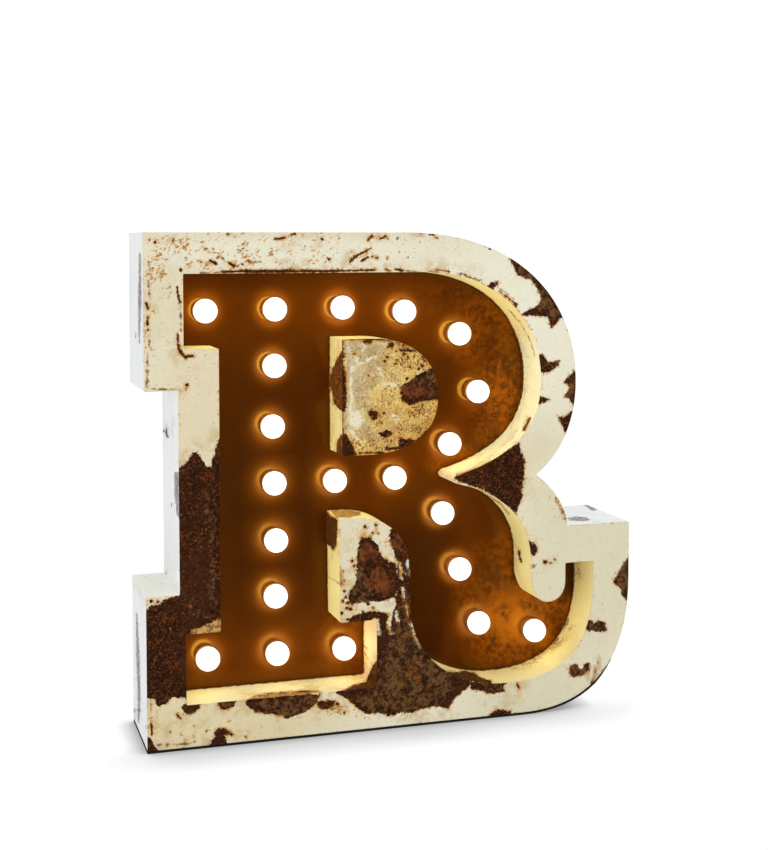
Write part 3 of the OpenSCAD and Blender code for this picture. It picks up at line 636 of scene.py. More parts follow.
# ---- materials ----------------------------------------------------------------------------
class Look:
    """A node material, built up from small helpers. Object coordinates are metres."""

    def __init__(self, name):
        self.mat = bpy.data.materials.new(name)
        self.mat.use_nodes = True
        self.tree = self.mat.node_tree
        self.tree.nodes.clear()
        self.bsdf = self.node("ShaderNodeBsdfPrincipled")
        out = self.node("ShaderNodeOutputMaterial")
        self.tree.links.new(self.bsdf.outputs[0], out.inputs[0])
        self.coord = self.node("ShaderNodeTexCoord").outputs["Object"]

    def node(self, kind):
        return self.tree.nodes.new(kind)

    def put(self, socket, value):
        if isinstance(value, bpy.types.NodeSocket):
            self.tree.links.new(value, socket)
        elif hasattr(socket.default_value, "__len__") and not hasattr(value, "__len__"):
            socket.default_value = [value] * len(socket.default_value)
        elif hasattr(value, "__len__") and len(socket.default_value) == 4 and len(value) == 3:
            socket.default_value = (*value, 1.0)
        else:
            socket.default_value = value

    def set(self, **values):
        names = {"color": "Base Color", "rough": "Roughness", "metal": "Metallic", "spec": "Specular IOR Level",
                 "tint": "Specular Tint", "coat": "Coat Weight", "coat_rough": "Coat Roughness",
                 "glow": "Emission Color", "glow_power": "Emission Strength", "normal": "Normal", "ior": "IOR",
                 "sheen": "Sheen Weight"}
        for key, value in values.items():
            self.put(self.bsdf.inputs[names[key]], value)
        return self

    def math(self, op, a, b=0.0, clamp=False):
        n = self.node("ShaderNodeMath")
        n.operation, n.use_clamp = op, clamp
        self.put(n.inputs[0], a)
        self.put(n.inputs[1], b)
        return n.outputs[0]

    def noise(self, scale, detail=4.0, rough=0.6, warp=0.0, vec=None):
        n = self.node("ShaderNodeTexNoise")
        self.put(n.inputs["Vector"], self.coord if vec is None else vec)
        n.inputs["Scale"].default_value, n.inputs["Detail"].default_value = scale, detail
        n.inputs["Roughness"].default_value, n.inputs["Distortion"].default_value = rough, warp
        return n.outputs["Fac"]

    def cells(self, scale, vec=None):
        n = self.node("ShaderNodeTexVoronoi")
        self.put(n.inputs["Vector"], self.coord if vec is None else vec)
        n.inputs["Scale"].default_value = scale
        s = self.node("ShaderNodeSeparateColor")
        self.tree.links.new(n.outputs["Color"], s.inputs[0])
        return n.outputs["Distance"], s.outputs[0], s.outputs[1]

    def layer(self, name):
        n = self.node("ShaderNodeAttribute")
        n.attribute_type, n.attribute_name = "GEOMETRY", name
        return n.outputs["Fac"]

    def ramp(self, x, lo, hi, smooth=True):
        """0 at lo to 1 at hi; lo may be above hi."""
        n = self.node("ShaderNodeMapRange")
        n.interpolation_type, n.clamp = ("SMOOTHSTEP" if smooth else "LINEAR"), True
        self.put(n.inputs[0], x)
        self.put(n.inputs[1], lo)
        self.put(n.inputs[2], hi)
        return n.outputs[0]

    def mix(self, t, a, b):
        n = self.node("ShaderNodeMix")
        n.data_type = "RGBA"
        sockets = [s for s in n.inputs if s.type == "RGBA"]
        self.put(n.inputs[0], t)
        self.put(sockets[0], a)
        self.put(sockets[1], b)
        return [s for s in n.outputs if s.type == "RGBA"][0]

    def blend(self, t, a, b):
        """a plus t of the way to b, for plain numbers."""
        n = self.node("ShaderNodeMapRange")
        n.interpolation_type, n.clamp = "LINEAR", True
        self.put(n.inputs[0], t)
        self.put(n.inputs[3], a)
        self.put(n.inputs[4], b)
        return n.outputs[0]

    def stretch(self, x, y, z):
        n = self.node("ShaderNodeVectorMath")
        n.operation = "MULTIPLY"
        self.put(n.inputs[0], self.coord)
        n.inputs[1].default_value = (x, y, z)
        return n.outputs[0]

    def slant(self, angle, long):
        """Object coordinates turned in the front view and squeezed, for marks that run slantwise."""
        n = self.node("ShaderNodeMapping")
        n.vector_type = "TEXTURE"
        self.put(n.inputs["Vector"], self.coord)
        n.inputs["Rotation"].default_value = (0.0, math.radians(angle), 0.0)
        n.inputs["Scale"].default_value = (long, 1.0, 1.0)
        return n.outputs[0]

    def warped(self, scale, by):
        """Object coordinates pushed about by noise, in metres."""
        n = self.node("ShaderNodeTexNoise")
        self.put(n.inputs["Vector"], self.coord)
        n.inputs["Scale"].default_value, n.inputs["Detail"].default_value = scale, 3.0
        m = self.node("ShaderNodeVectorMath")
        m.operation = "MULTIPLY_ADD"
        self.put(m.inputs[0], n.outputs["Color"])
        m.inputs[1].default_value = (by, by, by)
        self.put(m.inputs[2], self.coord)
        return m.outputs[0]

    def away(self, point, sx=1.0, sy=1.0, sz=1.0):
        """Distance in millimetres from a point of the letter, with each axis scaled."""
        s = self.node("ShaderNodeVectorMath")
        s.operation = "SUBTRACT"
        self.put(s.inputs[0], self.coord)
        s.inputs[1].default_value = metres(point)
        m = self.node("ShaderNodeVectorMath")
        m.operation = "MULTIPLY"
        self.put(m.inputs[0], s.outputs[0])
        m.inputs[1].default_value = (1000 * sx, 1000 * sy, 1000 * sz)
        n = self.node("ShaderNodeVectorMath")
        n.operation = "LENGTH"
        self.put(n.inputs[0], m.outputs[0])
        return n.outputs["Value"]

    def region(self, spots, lo=1.25, hi=0.45):
        """1 inside soft ellipses (x, z, half width, half height, power) of the front view, 0 outside."""
        out = None
        for x, z, a, b, power in spots:
            m = self.math("MULTIPLY", self.ramp(self.away((x, 0, z), 1 / a, 0.0, 1 / b), lo, hi), power)
            out = m if out is None else self.math("MAXIMUM", out, m)
        return out

    def bump(self, height, depth, strength=1.0):
        n = self.node("ShaderNodeBump")
        n.inputs["Strength"].default_value, n.inputs["Distance"].default_value = strength, depth
        self.put(n.inputs["Height"], height)
        self.put(self.bsdf.inputs["Normal"], n.outputs[0])
        return self


RUST_BLACK, RUST_BROWN, RUST_ORANGE = (0.018, 0.0050, 0.0014), (0.140, 0.0365, 0.0050), (0.235, 0.075, 0.013)


def rust_color(k, gain=1.0, yellow=1.0, layers=True):
    """Bare, rusted sheet: brown grains with dark seams, smooth and warm or blotched and olive in places."""
    tone = lambda c: (gain * c[0], gain * yellow * c[1], gain * yellow * c[2])
    far, one, two = k.cells(560, k.warped(95, 0.008))
    fine = k.noise(900, 3, 0.6)
    swirl = k.noise(190, 7, 0.72, 0.5)
    grain = k.math("MULTIPLY", k.ramp(far, 0.70, 0.22), k.blend(one, 0.30, 1.0))
    grain = k.math("ADD", grain, k.math("MULTIPLY", k.math("SUBTRACT", fine, 0.5), 2.6), clamp=True)
    grain = k.math("MULTIPLY", grain, k.blend(k.ramp(swirl, 0.42, 0.56), 0.45, 1.15))
    c = k.mix(grain, tone(RUST_BLACK), tone(RUST_BROWN))
    c = k.mix(k.math("MULTIPLY", k.ramp(k.noise(30, 4, 0.62), 0.48, 0.60), 0.45), c, tone((0.058, 0.0160, 0.0036)))
    c = k.mix(k.math("MULTIPLY", k.math("GREATER_THAN", two, 0.955), k.ramp(far, 0.46, 0.14)), c, tone(RUST_ORANGE))
    if layers:
        rag = k.math("MULTIPLY", k.math("SUBTRACT", k.noise(230, 5, 0.66), 0.5), 24.0)
        flake = k.math("ADD", k.math("MULTIPLY", k.ramp(swirl, 0.44, 0.56), 0.70), k.math("MULTIPLY", grain, 0.50), clamp=True)
        olive = k.ramp(k.math("ADD", k.layer("olive"), rag), 0.9, -0.9)
        c = k.mix(k.math("MULTIPLY", olive, 0.92), c, k.mix(flake, tone((0.022, 0.0078, 0.0022)), tone((0.158, 0.070, 0.0205))))
        warm = k.ramp(k.math("ADD", k.layer("warm"), rag), 0.9, -0.9)
        c = k.mix(k.math("MULTIPLY", warm, 0.85), c,
                  k.mix(k.ramp(swirl, 0.43, 0.57), tone((0.088, 0.0255, 0.0050)), tone((0.185, 0.0520, 0.0105))))
        seam = k.math("ABSOLUTE", k.math("SUBTRACT", k.noise(75, 5, 0.62, 0.9), 0.5))
        c = k.mix(k.math("MULTIPLY", k.ramp(seam, 0.014, 0.004), 0.8), c, tone(RUST_BLACK))
    return c


def worn_paint(name, pale, deep, tan, ragged=1.0, foot=False, halo=(0.46, 0.190, 0.038), stain=(0.15, 0.062, 0.016),
               mottle=0.0, gloss=0.42, chips=0.0, stain_power=0.9, tones=(), fresh=None, soft_fresh=False, ochre=None,
               rust=1.0, yellow=1.0, flecks=740, slope=-32, long=1.7, fleck_power=0.195, swarms=0.0, grit=None, rimmed=None,
               clean=None, core=0.075, glow=1.9):
    """Painted sheet with the wear that the mesh carries. tones are (colour, soft ellipses) laid over the paint."""
    k = Look(name)
    lifted = tuple(min(0.94, 1.16 * v) for v in pale)
    dark, soft, speck = k.layer("dark"), k.layer("stain"), k.layer("speck")
    grain = k.noise(340, 5, 0.62)
    fine = k.noise(1500, 3, 0.6)
    rag = k.math("ADD", k.math("MULTIPLY", k.math("SUBTRACT", grain, 0.5), 5.0 * ragged),
                 k.math("MULTIPLY", k.math("SUBTRACT", fine, 0.5), 4.0 * ragged))
    d = k.math("ADD", dark, rag)
    bare = k.math("MAXIMUM", k.ramp(d, 0.13, -0.13), k.ramp(k.math("ADD", k.layer("mark"), k.math("MULTIPLY", rag, 0.35)), 0.10, -0.14))
    # Paint: cream, a little yellower and dirtier in clouds, tan around bare places
    cloud = k.noise(22, 4, 0.62)
    c = k.mix(k.ramp(cloud, 0.36, 0.68), pale, deep)
    for tone, spots in tones:
        c = k.mix(k.math("MULTIPLY", k.region(spots), k.blend(cloud, 0.75, 1.25)), c, tone)
    near = k.math("MULTIPLY", k.ramp(dark, 15.0, 0.5), k.ramp(k.noise(70, 5, 0.68), 0.48, 0.62))
    if clean:
        near = k.math("MULTIPLY", near, k.math("SUBTRACT", 1.0, k.region(clean)))
    c = k.mix(k.math("MULTIPLY", near, 0.7), c, tan)
    if mottle:
        c = k.mix(k.math("MULTIPLY", k.ramp(k.noise(60, 6, 0.7, 0.5), 0.46, 0.56), mottle), c, tan)
        c = k.mix(k.math("MULTIPLY", k.ramp(k.noise(150, 6, 0.76, 0.4), 0.51, 0.60), 0.5 * mottle), c, (0.36, 0.215, 0.075))
    if ochre:
        cover = k.ramp(k.math("ADD", k.layer("ochre"), k.math("MULTIPLY", rag, 3.6)), 2.6, -2.2)
        c = k.mix(k.math("MULTIPLY", cover, 0.7), c, k.mix(k.ramp(grain, 0.46, 0.58), ochre, tan))
        cover = k.ramp(k.math("ADD", k.layer("beige"), k.math("MULTIPLY", rag, 2.2)), 0.9, -0.9)
        c = k.mix(k.math("MULTIPLY", cover, 0.85), c, k.mix(k.ramp(k.noise(240, 5, 0.7), 0.44, 0.60), (0.48, 0.352, 0.168), (0.33, 0.200, 0.070)))
    if fresh and not soft_fresh:
        cover = k.ramp(k.math("ADD", k.layer("left"), k.math("MULTIPLY", rag, 1.6)), 0.8, -0.5)
        c = k.mix(k.math("MULTIPLY", cover, 0.75), c, fresh)
    if grit:
        lump, golden = k.noise(640, 5, 0.72), k.region(grit)
        c = k.mix(k.math("MULTIPLY", k.ramp(lump, 0.49, 0.42), k.blend(golden, 0.34, 0.40)), c, k.mix(golden, (0.84, 0.76, 0.54), (0.92, 0.77, 0.37)))
        c = k.mix(k.math("MULTIPLY", k.ramp(lump, 0.51, 0.59), k.math("MULTIPLY", k.blend(golden, 0.16, 0.6),
                  k.blend(k.ramp(k.noise(110, 3, 0.6), 0.42, 0.58), 0.35, 1.0))), c,
                  k.mix(golden, (0.30, 0.180, 0.068), (0.46, 0.215, 0.026)))
        crowd = k.ramp(k.noise(80, 4, 0.62, 0.4), 0.44, 0.58)
        c = k.mix(k.math("MULTIPLY", k.math("MULTIPLY", k.ramp(k.noise(720, 4, 0.64), 0.535, 0.570), golden), k.blend(crowd, 0.12, 0.95)), c,
                  (0.20, 0.078, 0.012))
    if fresh and soft_fresh:
        cover = k.ramp(k.math("ADD", k.layer("left"), k.math("MULTIPLY", rag, 1.5)), 1.1, -0.4)
        c = k.mix(k.math("MULTIPLY", cover, 0.88), c, fresh)
    if rimmed:
        lip = k.ramp(k.math("ADD", k.layer("edge"), k.math("MULTIPLY", rag, 2.6)), 5.5, 0.5)
        c = k.mix(k.math("MULTIPLY", k.math("MULTIPLY", lip, golden), 0.7), c, (0.66, 0.335, 0.042))
        lip = k.ramp(k.math("ADD", k.layer("edge"), k.math("MULTIPLY", rag, 2.6)), 2.2, 0.7)
        c = k.mix(k.math("MULTIPLY", lip, k.blend(golden, 0.9, 0.55)), c, rimmed)
    dirt = k.math("MULTIPLY", k.ramp(k.noise(900, 4, 0.62), 0.54, 0.64), 0.22)
    c = k.mix(dirt, c, (0.42, 0.33, 0.20))
    # Stain along the edges of bare places, then stained places of their own
    lip = k.math("MULTIPLY", k.ramp(d, 1.0, 0.3), k.ramp(k.noise(120, 4, 0.65), 0.53, 0.44))
    c = k.mix(k.math("MULTIPLY", lip, 0.55), c, lifted)
    rim = k.math("MULTIPLY", k.ramp(d, glow, 0.05), k.ramp(k.noise(120, 4, 0.65), 0.56 - 0.05 * glow, 0.66 - 0.05 * glow))
    if clean:
        rim = k.math("MULTIPLY", rim, k.math("SUBTRACT", 1.0, k.math("MULTIPLY", k.region(clean), 0.8)))
    c = k.mix(k.math("MULTIPLY", rim, 0.9), c, halo)
    if clean:                                   # only a thin rusty rim there
        rim = k.math("MULTIPLY", k.math("MULTIPLY", k.ramp(d, 0.85, 0.15), k.ramp(k.noise(95, 4, 0.65), 0.44, 0.54)), k.region(clean))
        c = k.mix(k.math("MULTIPLY", rim, 0.85), c, (0.50, 0.225, 0.045))
    fringe = k.math("ADD", k.layer("mark"), rag)
    c = k.mix(k.math("MULTIPLY", k.ramp(fringe, 0.95, 0.05), 0.75), c, halo)
    s = k.math("MULTIPLY", k.ramp(k.math("ADD", soft, rag), 0.45, -0.55), stain_power)
    if chips:                                   # faint stains also where the picture shows nothing
        drift = k.math("ADD", k.noise(15, 2, 0.5, 0.0, k.stretch(1.0, 1.7, 0.5)), k.math("MULTIPLY", k.math("SUBTRACT", grain, 0.5), 0.30))
        s = k.math("MAXIMUM", s, k.math("MULTIPLY", k.math("MULTIPLY", k.ramp(drift, 0.575, 0.625), k.layer("unseen")), 0.5))
    c = k.mix(s, c, k.mix(k.ramp(grain, 0.44, 0.56), stain, halo))
    # Flecks: small rusty marks in swarms, also along edges and around bare places
    swarm = k.ramp(k.noise(85, 4, 0.62), 0.42, 0.58)
    thick = k.math("MULTIPLY", speck, k.blend(swarm, swarms, 1.0))
    if foot:
        thick = k.math("MULTIPLY", thick, k.blend(k.ramp(k.layer("edge"), 26.0, 2.0), 0.35, 1.25))
    else:
        thick = k.math("MAXIMUM", thick, k.math("MULTIPLY", k.ramp(k.layer("edge"), 2.6, 0.3), k.math("MULTIPLY", swarm, 0.7)))
    thick = k.math("MAXIMUM", thick, k.math("MULTIPLY", k.ramp(dark, 3.6, 0.2), 0.6))
    over = k.math("SUBTRACT", k.noise(flecks, 3, 0.58, 0.2, k.slant(slope, long)),
                  k.math("SUBTRACT", 0.70, k.math("MULTIPLY", thick, fleck_power)))
    dots = k.ramp(over, -0.002, 0.022)
    c = k.mix(k.math("MULTIPLY", dots, 0.9), c, k.mix(k.ramp(over, core, core + 0.07), (0.60, 0.270, 0.040), (0.13, 0.050, 0.012)))
    if foot:
        line = k.ramp(k.math("ADD", k.layer("edge"), k.math("MULTIPLY", rag, 2.4)), 3.3, 2.1)
        bare = k.math("MAXIMUM", bare, k.math("MULTIPLY", line, k.layer("deep")))
    if chips:
        loose = k.math("MULTIPLY", k.ramp(k.noise(26, 5, 0.66, 0.3), chips, chips + 0.012),
                       k.ramp(k.noise(120, 3, 0.6), 0.40, 0.44))
        bare = k.math("MAXIMUM", bare, loose)
    if fresh and not soft_fresh:
        bare = k.math("MULTIPLY", bare, k.math("SUBTRACT", 1.0, cover))
    metal = rust_color(k, rust, yellow)
    metal = k.mix(k.math("MULTIPLY", k.ramp(fringe, 0.5, -0.2), k.ramp(fringe, -1.0, -0.4)), metal, (0.075, 0.0255, 0.0060))
    c = k.mix(bare, c, metal)
    worn = k.math("MAXIMUM", bare, k.math("MAXIMUM", k.math("MULTIPLY", s, 0.6), dots))
    k.set(color=c, spec=0.09)
    k.set(rough=k.math("ADD", k.blend(worn, gloss, 0.80), k.math("MULTIPLY", k.math("SUBTRACT", cloud, 0.5), 0.18)))
    skin = k.math("MULTIPLY", k.noise(190, 3, 0.5), 0.05)
    pits = k.math("MULTIPLY", k.math("MULTIPLY", k.noise(520, 5, 0.7), 0.9), bare)
    h = k.math("ADD", k.math("SUBTRACT", skin, k.math("MULTIPLY", worn, 0.75)), pits)
    k.bump(h, 0.00022, 0.8)
    return k.mat


def plain_paint(name, pale, deep, rough=0.45):
    """Painted sheet that the wear layers don't reach: clouds, scuffs and a few small chips."""
    k = Look(name)
    cloud = k.noise(20, 4, 0.62)
    c = k.mix(k.ramp(cloud, 0.36, 0.68), pale, deep)
    scuff = k.math("MULTIPLY", k.ramp(k.noise(9, 6, 0.7, 1.2, k.stretch(14, 1, 1.6)), 0.60, 0.70), 0.35)
    c = k.mix(scuff, c, (0.42, 0.36, 0.28))
    far, one, two = k.cells(120, k.warped(420, 0.007))
    spot = k.math("MULTIPLY", k.math("LESS_THAN", one, 0.08), k.ramp(far, 0.17, 0.08))
    chip = k.math("MULTIPLY", k.ramp(k.noise(30, 5, 0.66, 0.3), 0.665, 0.677), k.ramp(k.noise(140, 3, 0.6), 0.40, 0.44))
    c = k.mix(spot, c, (0.20, 0.09, 0.03))
    c = k.mix(k.math("MULTIPLY", k.ramp(k.noise(30, 5, 0.66, 0.3), 0.645, 0.668), 0.7), c, (0.36, 0.17, 0.045))
    c = k.mix(chip, c, rust_color(k, layers=False))
    k.set(color=c, rough=k.math("ADD", k.blend(chip, rough, 0.8), k.math("MULTIPLY", k.math("SUBTRACT", cloud, 0.5), 0.2)),
          spec=0.14)
    k.bump(k.math("SUBTRACT", k.math("MULTIPLY", k.noise(190, 3, 0.5), 0.06), k.math("MULTIPLY", chip, 0.7)), 0.00022, 0.8)
    return k.mat


def plate_look():
    """Brown lacquered plate: glossy at the top and left, mottled orange and rough at the lower right, with painted
    shade near the walls and painted light round the globes.
    """
    k = Look("plate_brown")
    spots = k.region(((300, 70, 62, 60, 1.0), (272, 222, 24, 46, 0.95), (236, 180, 24, 14, 0.5), (258, 278, 34, 30, 0.42),
                      (150, 50, 26, 34, 0.45), (226, 300, 60, 16, 0.2)))
    cloud, grain = k.noise(45, 5, 0.66), k.noise(240, 5, 0.68)
    c = k.mix(k.ramp(cloud, 0.35, 0.68), (0.078, 0.0162, 0.0002), (0.094, 0.0200, 0.0003))
    # deep is painted shade: darker plate in the stem, the leg and along the top, where the walls and rims shade it.
    deep = k.region(((94, 165, 48, 125, 1.0), (212, 100, 36, 66, 1.0), (150, 172, 50, 16, 0.4), (140, 317, 130, 10, 0.6), (214, 51, 16, 22, 1.0), (227, 238, 16, 26, 0.5), (226, 309, 46, 9, 0.75)))
    c = k.mix(deep, c, (0.036, 0.0072, 0.0002))
    rusty = k.math("MULTIPLY", spots, k.ramp(k.math("ADD", k.math("MULTIPLY", cloud, 0.45), k.math("MULTIPLY", grain, 0.55)),
                                             0.42, 0.585))
    c = k.mix(rusty, c, (0.395, 0.088, 0.0007))
    c = k.mix(k.math("MULTIPLY", k.math("MULTIPLY", spots, k.ramp(k.noise(130, 5, 0.7), 0.54, 0.61)), 0.6), c,
              (0.036, 0.0092, 0.0008))
    c = k.mix(k.math("MULTIPLY", k.math("MULTIPLY", spots, k.ramp(k.noise(34, 5, 0.64, 0.6), 0.49, 0.58)), 0.42), c, (0.052, 0.0118, 0.0005))
    c = k.mix(k.region(((263, 90, 24, 28, 0.42),)), c, (0.090, 0.0205, 0.0005))
    # From here to the ring, colour paints the globes' light into the plate: lighter brown along the top and bottom rows
    # of globes, a warmer, brighter pool round each globe (near, warm, high, wide) and a bright ring close round it that
    # stands in for their glow (ring).
    near = k.region([(x, z, 16, 16, 1.0) for x, z in LAMPS], 1.75, 0.5)
    warm = k.math("ADD", k.math("MULTIPLY", k.math("POWER", near, 6.0), 0.8), k.math("MULTIPLY", k.math("POWER", near, 2.5), 0.1))
    warm = k.math("MULTIPLY", warm, k.blend(deep, 1.0, 0.85))
    high = k.region(((120, 300, 110, 40, 0.9), (215, 290, 40, 40, 0.5), (255, 60, 60, 40, 0.3), (130, 55, 90, 36, 0.7)))
    c = k.mix(k.region(((165, 300, 70, 40, 0.5), (120, 45, 60, 34, 0.6))), c, (0.120, 0.0275, 0.0010))
    c = k.mix(k.math("MULTIPLY", warm, k.blend(spots, 1.0, 0.6)), c,
              k.mix(high, (0.190, 0.0535, 0.0050), (0.340, 0.0930, 0.0080)))
    wide = k.region(((94, 150, 44, 90, 1.0), (118, 48, 46, 30, 0.8)))
    c = k.mix(k.math("MULTIPLY", k.math("MULTIPLY", near, wide), 0.30), c, (0.190, 0.0535, 0.0050))
    ring = k.math("MULTIPLY", k.math("POWER", near, 10.0), k.blend(k.region(((60, 300, 60, 40, 1.0), (249, 245, 40, 60, 1.0), (46, 50, 36, 30, 0.8), (94, 165, 30, 120, 0.3))), 0.9, 0.12))
    c = k.mix(ring, c, (0.360, 0.115, 0.022))
    # Painted shade: a dark patch in the narrow end of the leg, by its right wall.
    c = k.mix(k.region(((329, 91, 12, 25, 1.0),)), c, (0.030, 0.0075, 0.0004))
    c = k.mix(k.math("MULTIPLY", k.region(((283, 60, 26, 22, 1.0), (311, 38, 12, 9, 0.9))), k.ramp(cloud, 0.40, 0.58)), c, (0.350, 0.092, 0.0006))
    c = k.mix(k.math("MULTIPLY", k.ramp(k.noise(1300, 3, 0.6), 0.44, 0.62), 0.30), c, (0.15, 0.040, 0.0006))
    k.set(color=c, spec=0.45, tint=(1.0, 0.64, 0.16))
    k.set(rough=k.math("ADD", k.blend(k.math("MAXIMUM", spots, k.math("MULTIPLY", k.region(((95, 120, 70, 150, 1.0), (220, 140, 40, 50, 1.0))), 0.35)), 0.10, 0.38), k.math("MULTIPLY", k.math("SUBTRACT", grain, 0.5), 0.08)))
    k.bump(k.math("ADD", k.math("MULTIPLY", k.math("MULTIPLY", grain, spots), 0.5), k.math("MULTIPLY", k.noise(60, 2), 0.12)),
           0.0002, 0.35)
    return k.mat


def opal_look():
    """Lit opal globe: warm white, a little dimmer towards its neck."""
    k = Look("opal_globe")
    s = k.node("ShaderNodeSeparateXYZ")
    k.put(s.inputs[0], k.coord)
    depth = k.ramp(s.outputs[1], 0.001, -0.010)
    milk = k.math("ADD", k.math("MULTIPLY", k.noise(300, 3), 0.06), 0.97)
    ray = k.node("ShaderNodeLightPath").outputs
    seen, mirrored = ray["Is Camera Ray"], ray["Is Glossy Ray"]
    dull = k.region([(x, z, 22, 22, m) for (x, z), m in zip(LAMPS, DULL) if m])
    power = k.math("MULTIPLY", k.math("MULTIPLY", k.blend(depth, 4.2, GLOW), milk),
                   k.blend(mirrored, 1.0, k.math("SUBTRACT", 2.05, k.math("MULTIPLY", dull, 2.05))))
    k.set(color=(0.92, 0.90, 0.85), rough=0.16, spec=0.5, glow=k.mix(seen, (1.0, 0.84, 0.32), (1.0, 0.985, 0.95)))
    k.set(glow_power=k.blend(seen, power, k.math("MULTIPLY", k.blend(depth, 0.75, 1.12), milk)))
    return k.mat


GLOW = 5.6
# How much weaker than the brightest each globe is mirrored by the plate, in the order of LAMPS
DULL = (0, 0, 0.22, 0, 0, 0.1, 0.34, 0.05, 0, 0.37, 0.5, 0.25, 0.29, 0.34, 0.15, 0.5, 0.85, 0.5, 0.1, 0.67, 0.45)


def metal_look(name, pale, deep, rough=0.32, grain=(40, 1, 40), metal=1.0):
    k = Look(name)
    g = k.noise(22, 5, 0.65, 0.2, k.stretch(*grain))
    c = k.mix(k.ramp(g, 0.35, 0.68), pale, deep)
    tarnish = k.ramp(k.noise(140, 5, 0.7), 0.56, 0.74)
    c = k.mix(k.math("MULTIPLY", tarnish, 0.5), c, tuple(0.45 * v for v in deep))
    k.set(color=c, metal=metal, rough=k.math("ADD", k.math("MULTIPLY", g, 0.18), k.blend(tarnish, rough - 0.08, rough + 0.2)))
    k.bump(g, 0.00006, 0.5)
    return k.mat


def plastic_look(name, pale, deep, rough=0.45, texture=1200, dust=(0.22, 0.20, 0.17)):
    k = Look(name)
    g = k.noise(texture, 3, 0.6)
    c = k.mix(k.ramp(k.noise(50, 4), 0.35, 0.68), pale, deep)
    c = k.mix(k.math("MULTIPLY", k.ramp(k.noise(160, 5, 0.72), 0.58, 0.78), 0.22), c, dust)
    k.set(color=c, rough=k.math("ADD", k.math("MULTIPLY", g, 0.22), rough - 0.1), spec=0.45)
    k.bump(g, 0.00008, 0.5)
    return k.mat


# On the front paint, the lighter cream over the top of the letter and along its bottom is painted light, and the
# greyer, darker cream at the lower right is painted shade; the small red-brown marks low on the right are stains.
CREAM = worn_paint("cream_face_paint", (0.715, 0.655, 0.480), (0.665, 0.590, 0.405), (0.52, 0.375, 0.170), tones=(
    ((0.760, 0.725, 0.570), ((262, 285, 90, 80, 1.0), (110, 336, 120, 12, 0.8))),
    ((0.695, 0.605, 0.415), ((40, 225, 40, 60, 1.0),)),
    ((0.750, 0.710, 0.545), ((180, 10, 330, 40, 0.9),)),
    ((0.645, 0.600, 0.435), ((330, 95, 60, 85, 0.9), (300, 10, 80, 30, 0.9))),
    ((0.660, 0.560, 0.345), ((50, 14, 110, 30, 0.85),)),
    ((0.42, 0.240, 0.130), ((331.5, 15, 2.8, 5.0, 1.0), (333, 22, 2.6, 7.0, 0.75), (336, 29, 2.4, 7.0, 0.55), (327, 21, 2.2, 6.0, 0.45)))), fresh=(0.56, 0.475, 0.33), halo=(0.56, 0.262, 0.050),
                   clean=((285, 255, 75, 100, 1.0), (325, 85, 60, 70, 0.7)))
ISLE = worn_paint("island_paint", (0.640, 0.555, 0.360), (0.520, 0.415, 0.235), (0.42, 0.275, 0.110), mottle=0.35, tones=(
    ((0.800, 0.590, 0.195), ((190, 236, 44, 46, 1.0), (165, 203, 44, 18, 0.9))),
    ((0.740, 0.440, 0.075), ((192, 212, 28, 22, 1.0),))), fresh=(0.75, 0.690, 0.500), soft_fresh=True,
                  ochre=(0.66, 0.425, 0.110), flecks=900, slope=0, long=1.0, fleck_power=0.240, swarms=0.45,
                  grit=((190, 230, 40, 46, 1.0), (165, 200, 40, 14, 0.8)), rimmed=(0.26, 0.100, 0.016), core=0.03, halo=(0.62, 0.310, 0.050),
                  glow=2.8)
# The channel and island walls take a brighter, yellower copy of the cream paint, and their bare rust is drawn brighter
# and yellower too (rust, yellow): painted light from the globes.
WALL_CREAM_LIT = ((0.84, 0.765, 0.450), (0.80, 0.705, 0.370), (0.62, 0.46, 0.19))
INNER = worn_paint("channel_paint", *WALL_CREAM_LIT, ragged=0.6, halo=(0.40, 0.19, 0.040), stain=(0.14, 0.060, 0.015), foot=True,
                   rust=1.6, yellow=1.22, flecks=1200, slope=0, long=1.0, core=0.02, tones=(
                       ((0.93, 0.92, 0.74), ((285, 235, 60, 80, 1.0),)),
                       ((0.75, 0.710, 0.520), ((95, 27, 90, 10, 1.0),)),
                       ((0.90, 0.800, 0.430), ((331, 85, 16, 34, 1.0),)),
                       ((0.77, 0.680, 0.400), ((285, 22, 60, 24, 1.0),)), ((0.70, 0.605, 0.345), ((314, 40, 14, 16, 0.9),)), ((0.86, 0.735, 0.360), ((272, 298, 40, 30, 0.8),)),
                       ((0.86, 0.660, 0.520), ((226, 177, 20, 14, 1.0), (163, 46, 12, 34, 1.0)))))
ISLE_WALL = worn_paint("island_wall_paint", *WALL_CREAM_LIT, ragged=0.6, halo=(0.42, 0.21, 0.05), stain=(0.14, 0.060, 0.015),
                       foot=True, rust=2.7, yellow=1.15, slope=90)
SIDE = worn_paint("side_paint", (0.900, 0.915, 0.905), (0.845, 0.855, 0.840), (0.62, 0.60, 0.55), ragged=0.45,
                  halo=(0.42, 0.36, 0.36), stain=(0.19, 0.145, 0.155), chips=0.66, stain_power=0.92, tones=(
                      ((0.80, 0.79, 0.69), ((8, 101, 16, 7, 0.7),)),))
COVER = plain_paint("cover_paint", (0.78, 0.76, 0.70), (0.70, 0.66, 0.57))
PLATE = plate_look()
OPAL = opal_look()
ZINC = metal_look("zinc_steel", (0.62, 0.62, 0.60), (0.42, 0.41, 0.39), metal=0.55)
BRASS = metal_look("brass", (0.78, 0.56, 0.24), (0.55, 0.36, 0.13))
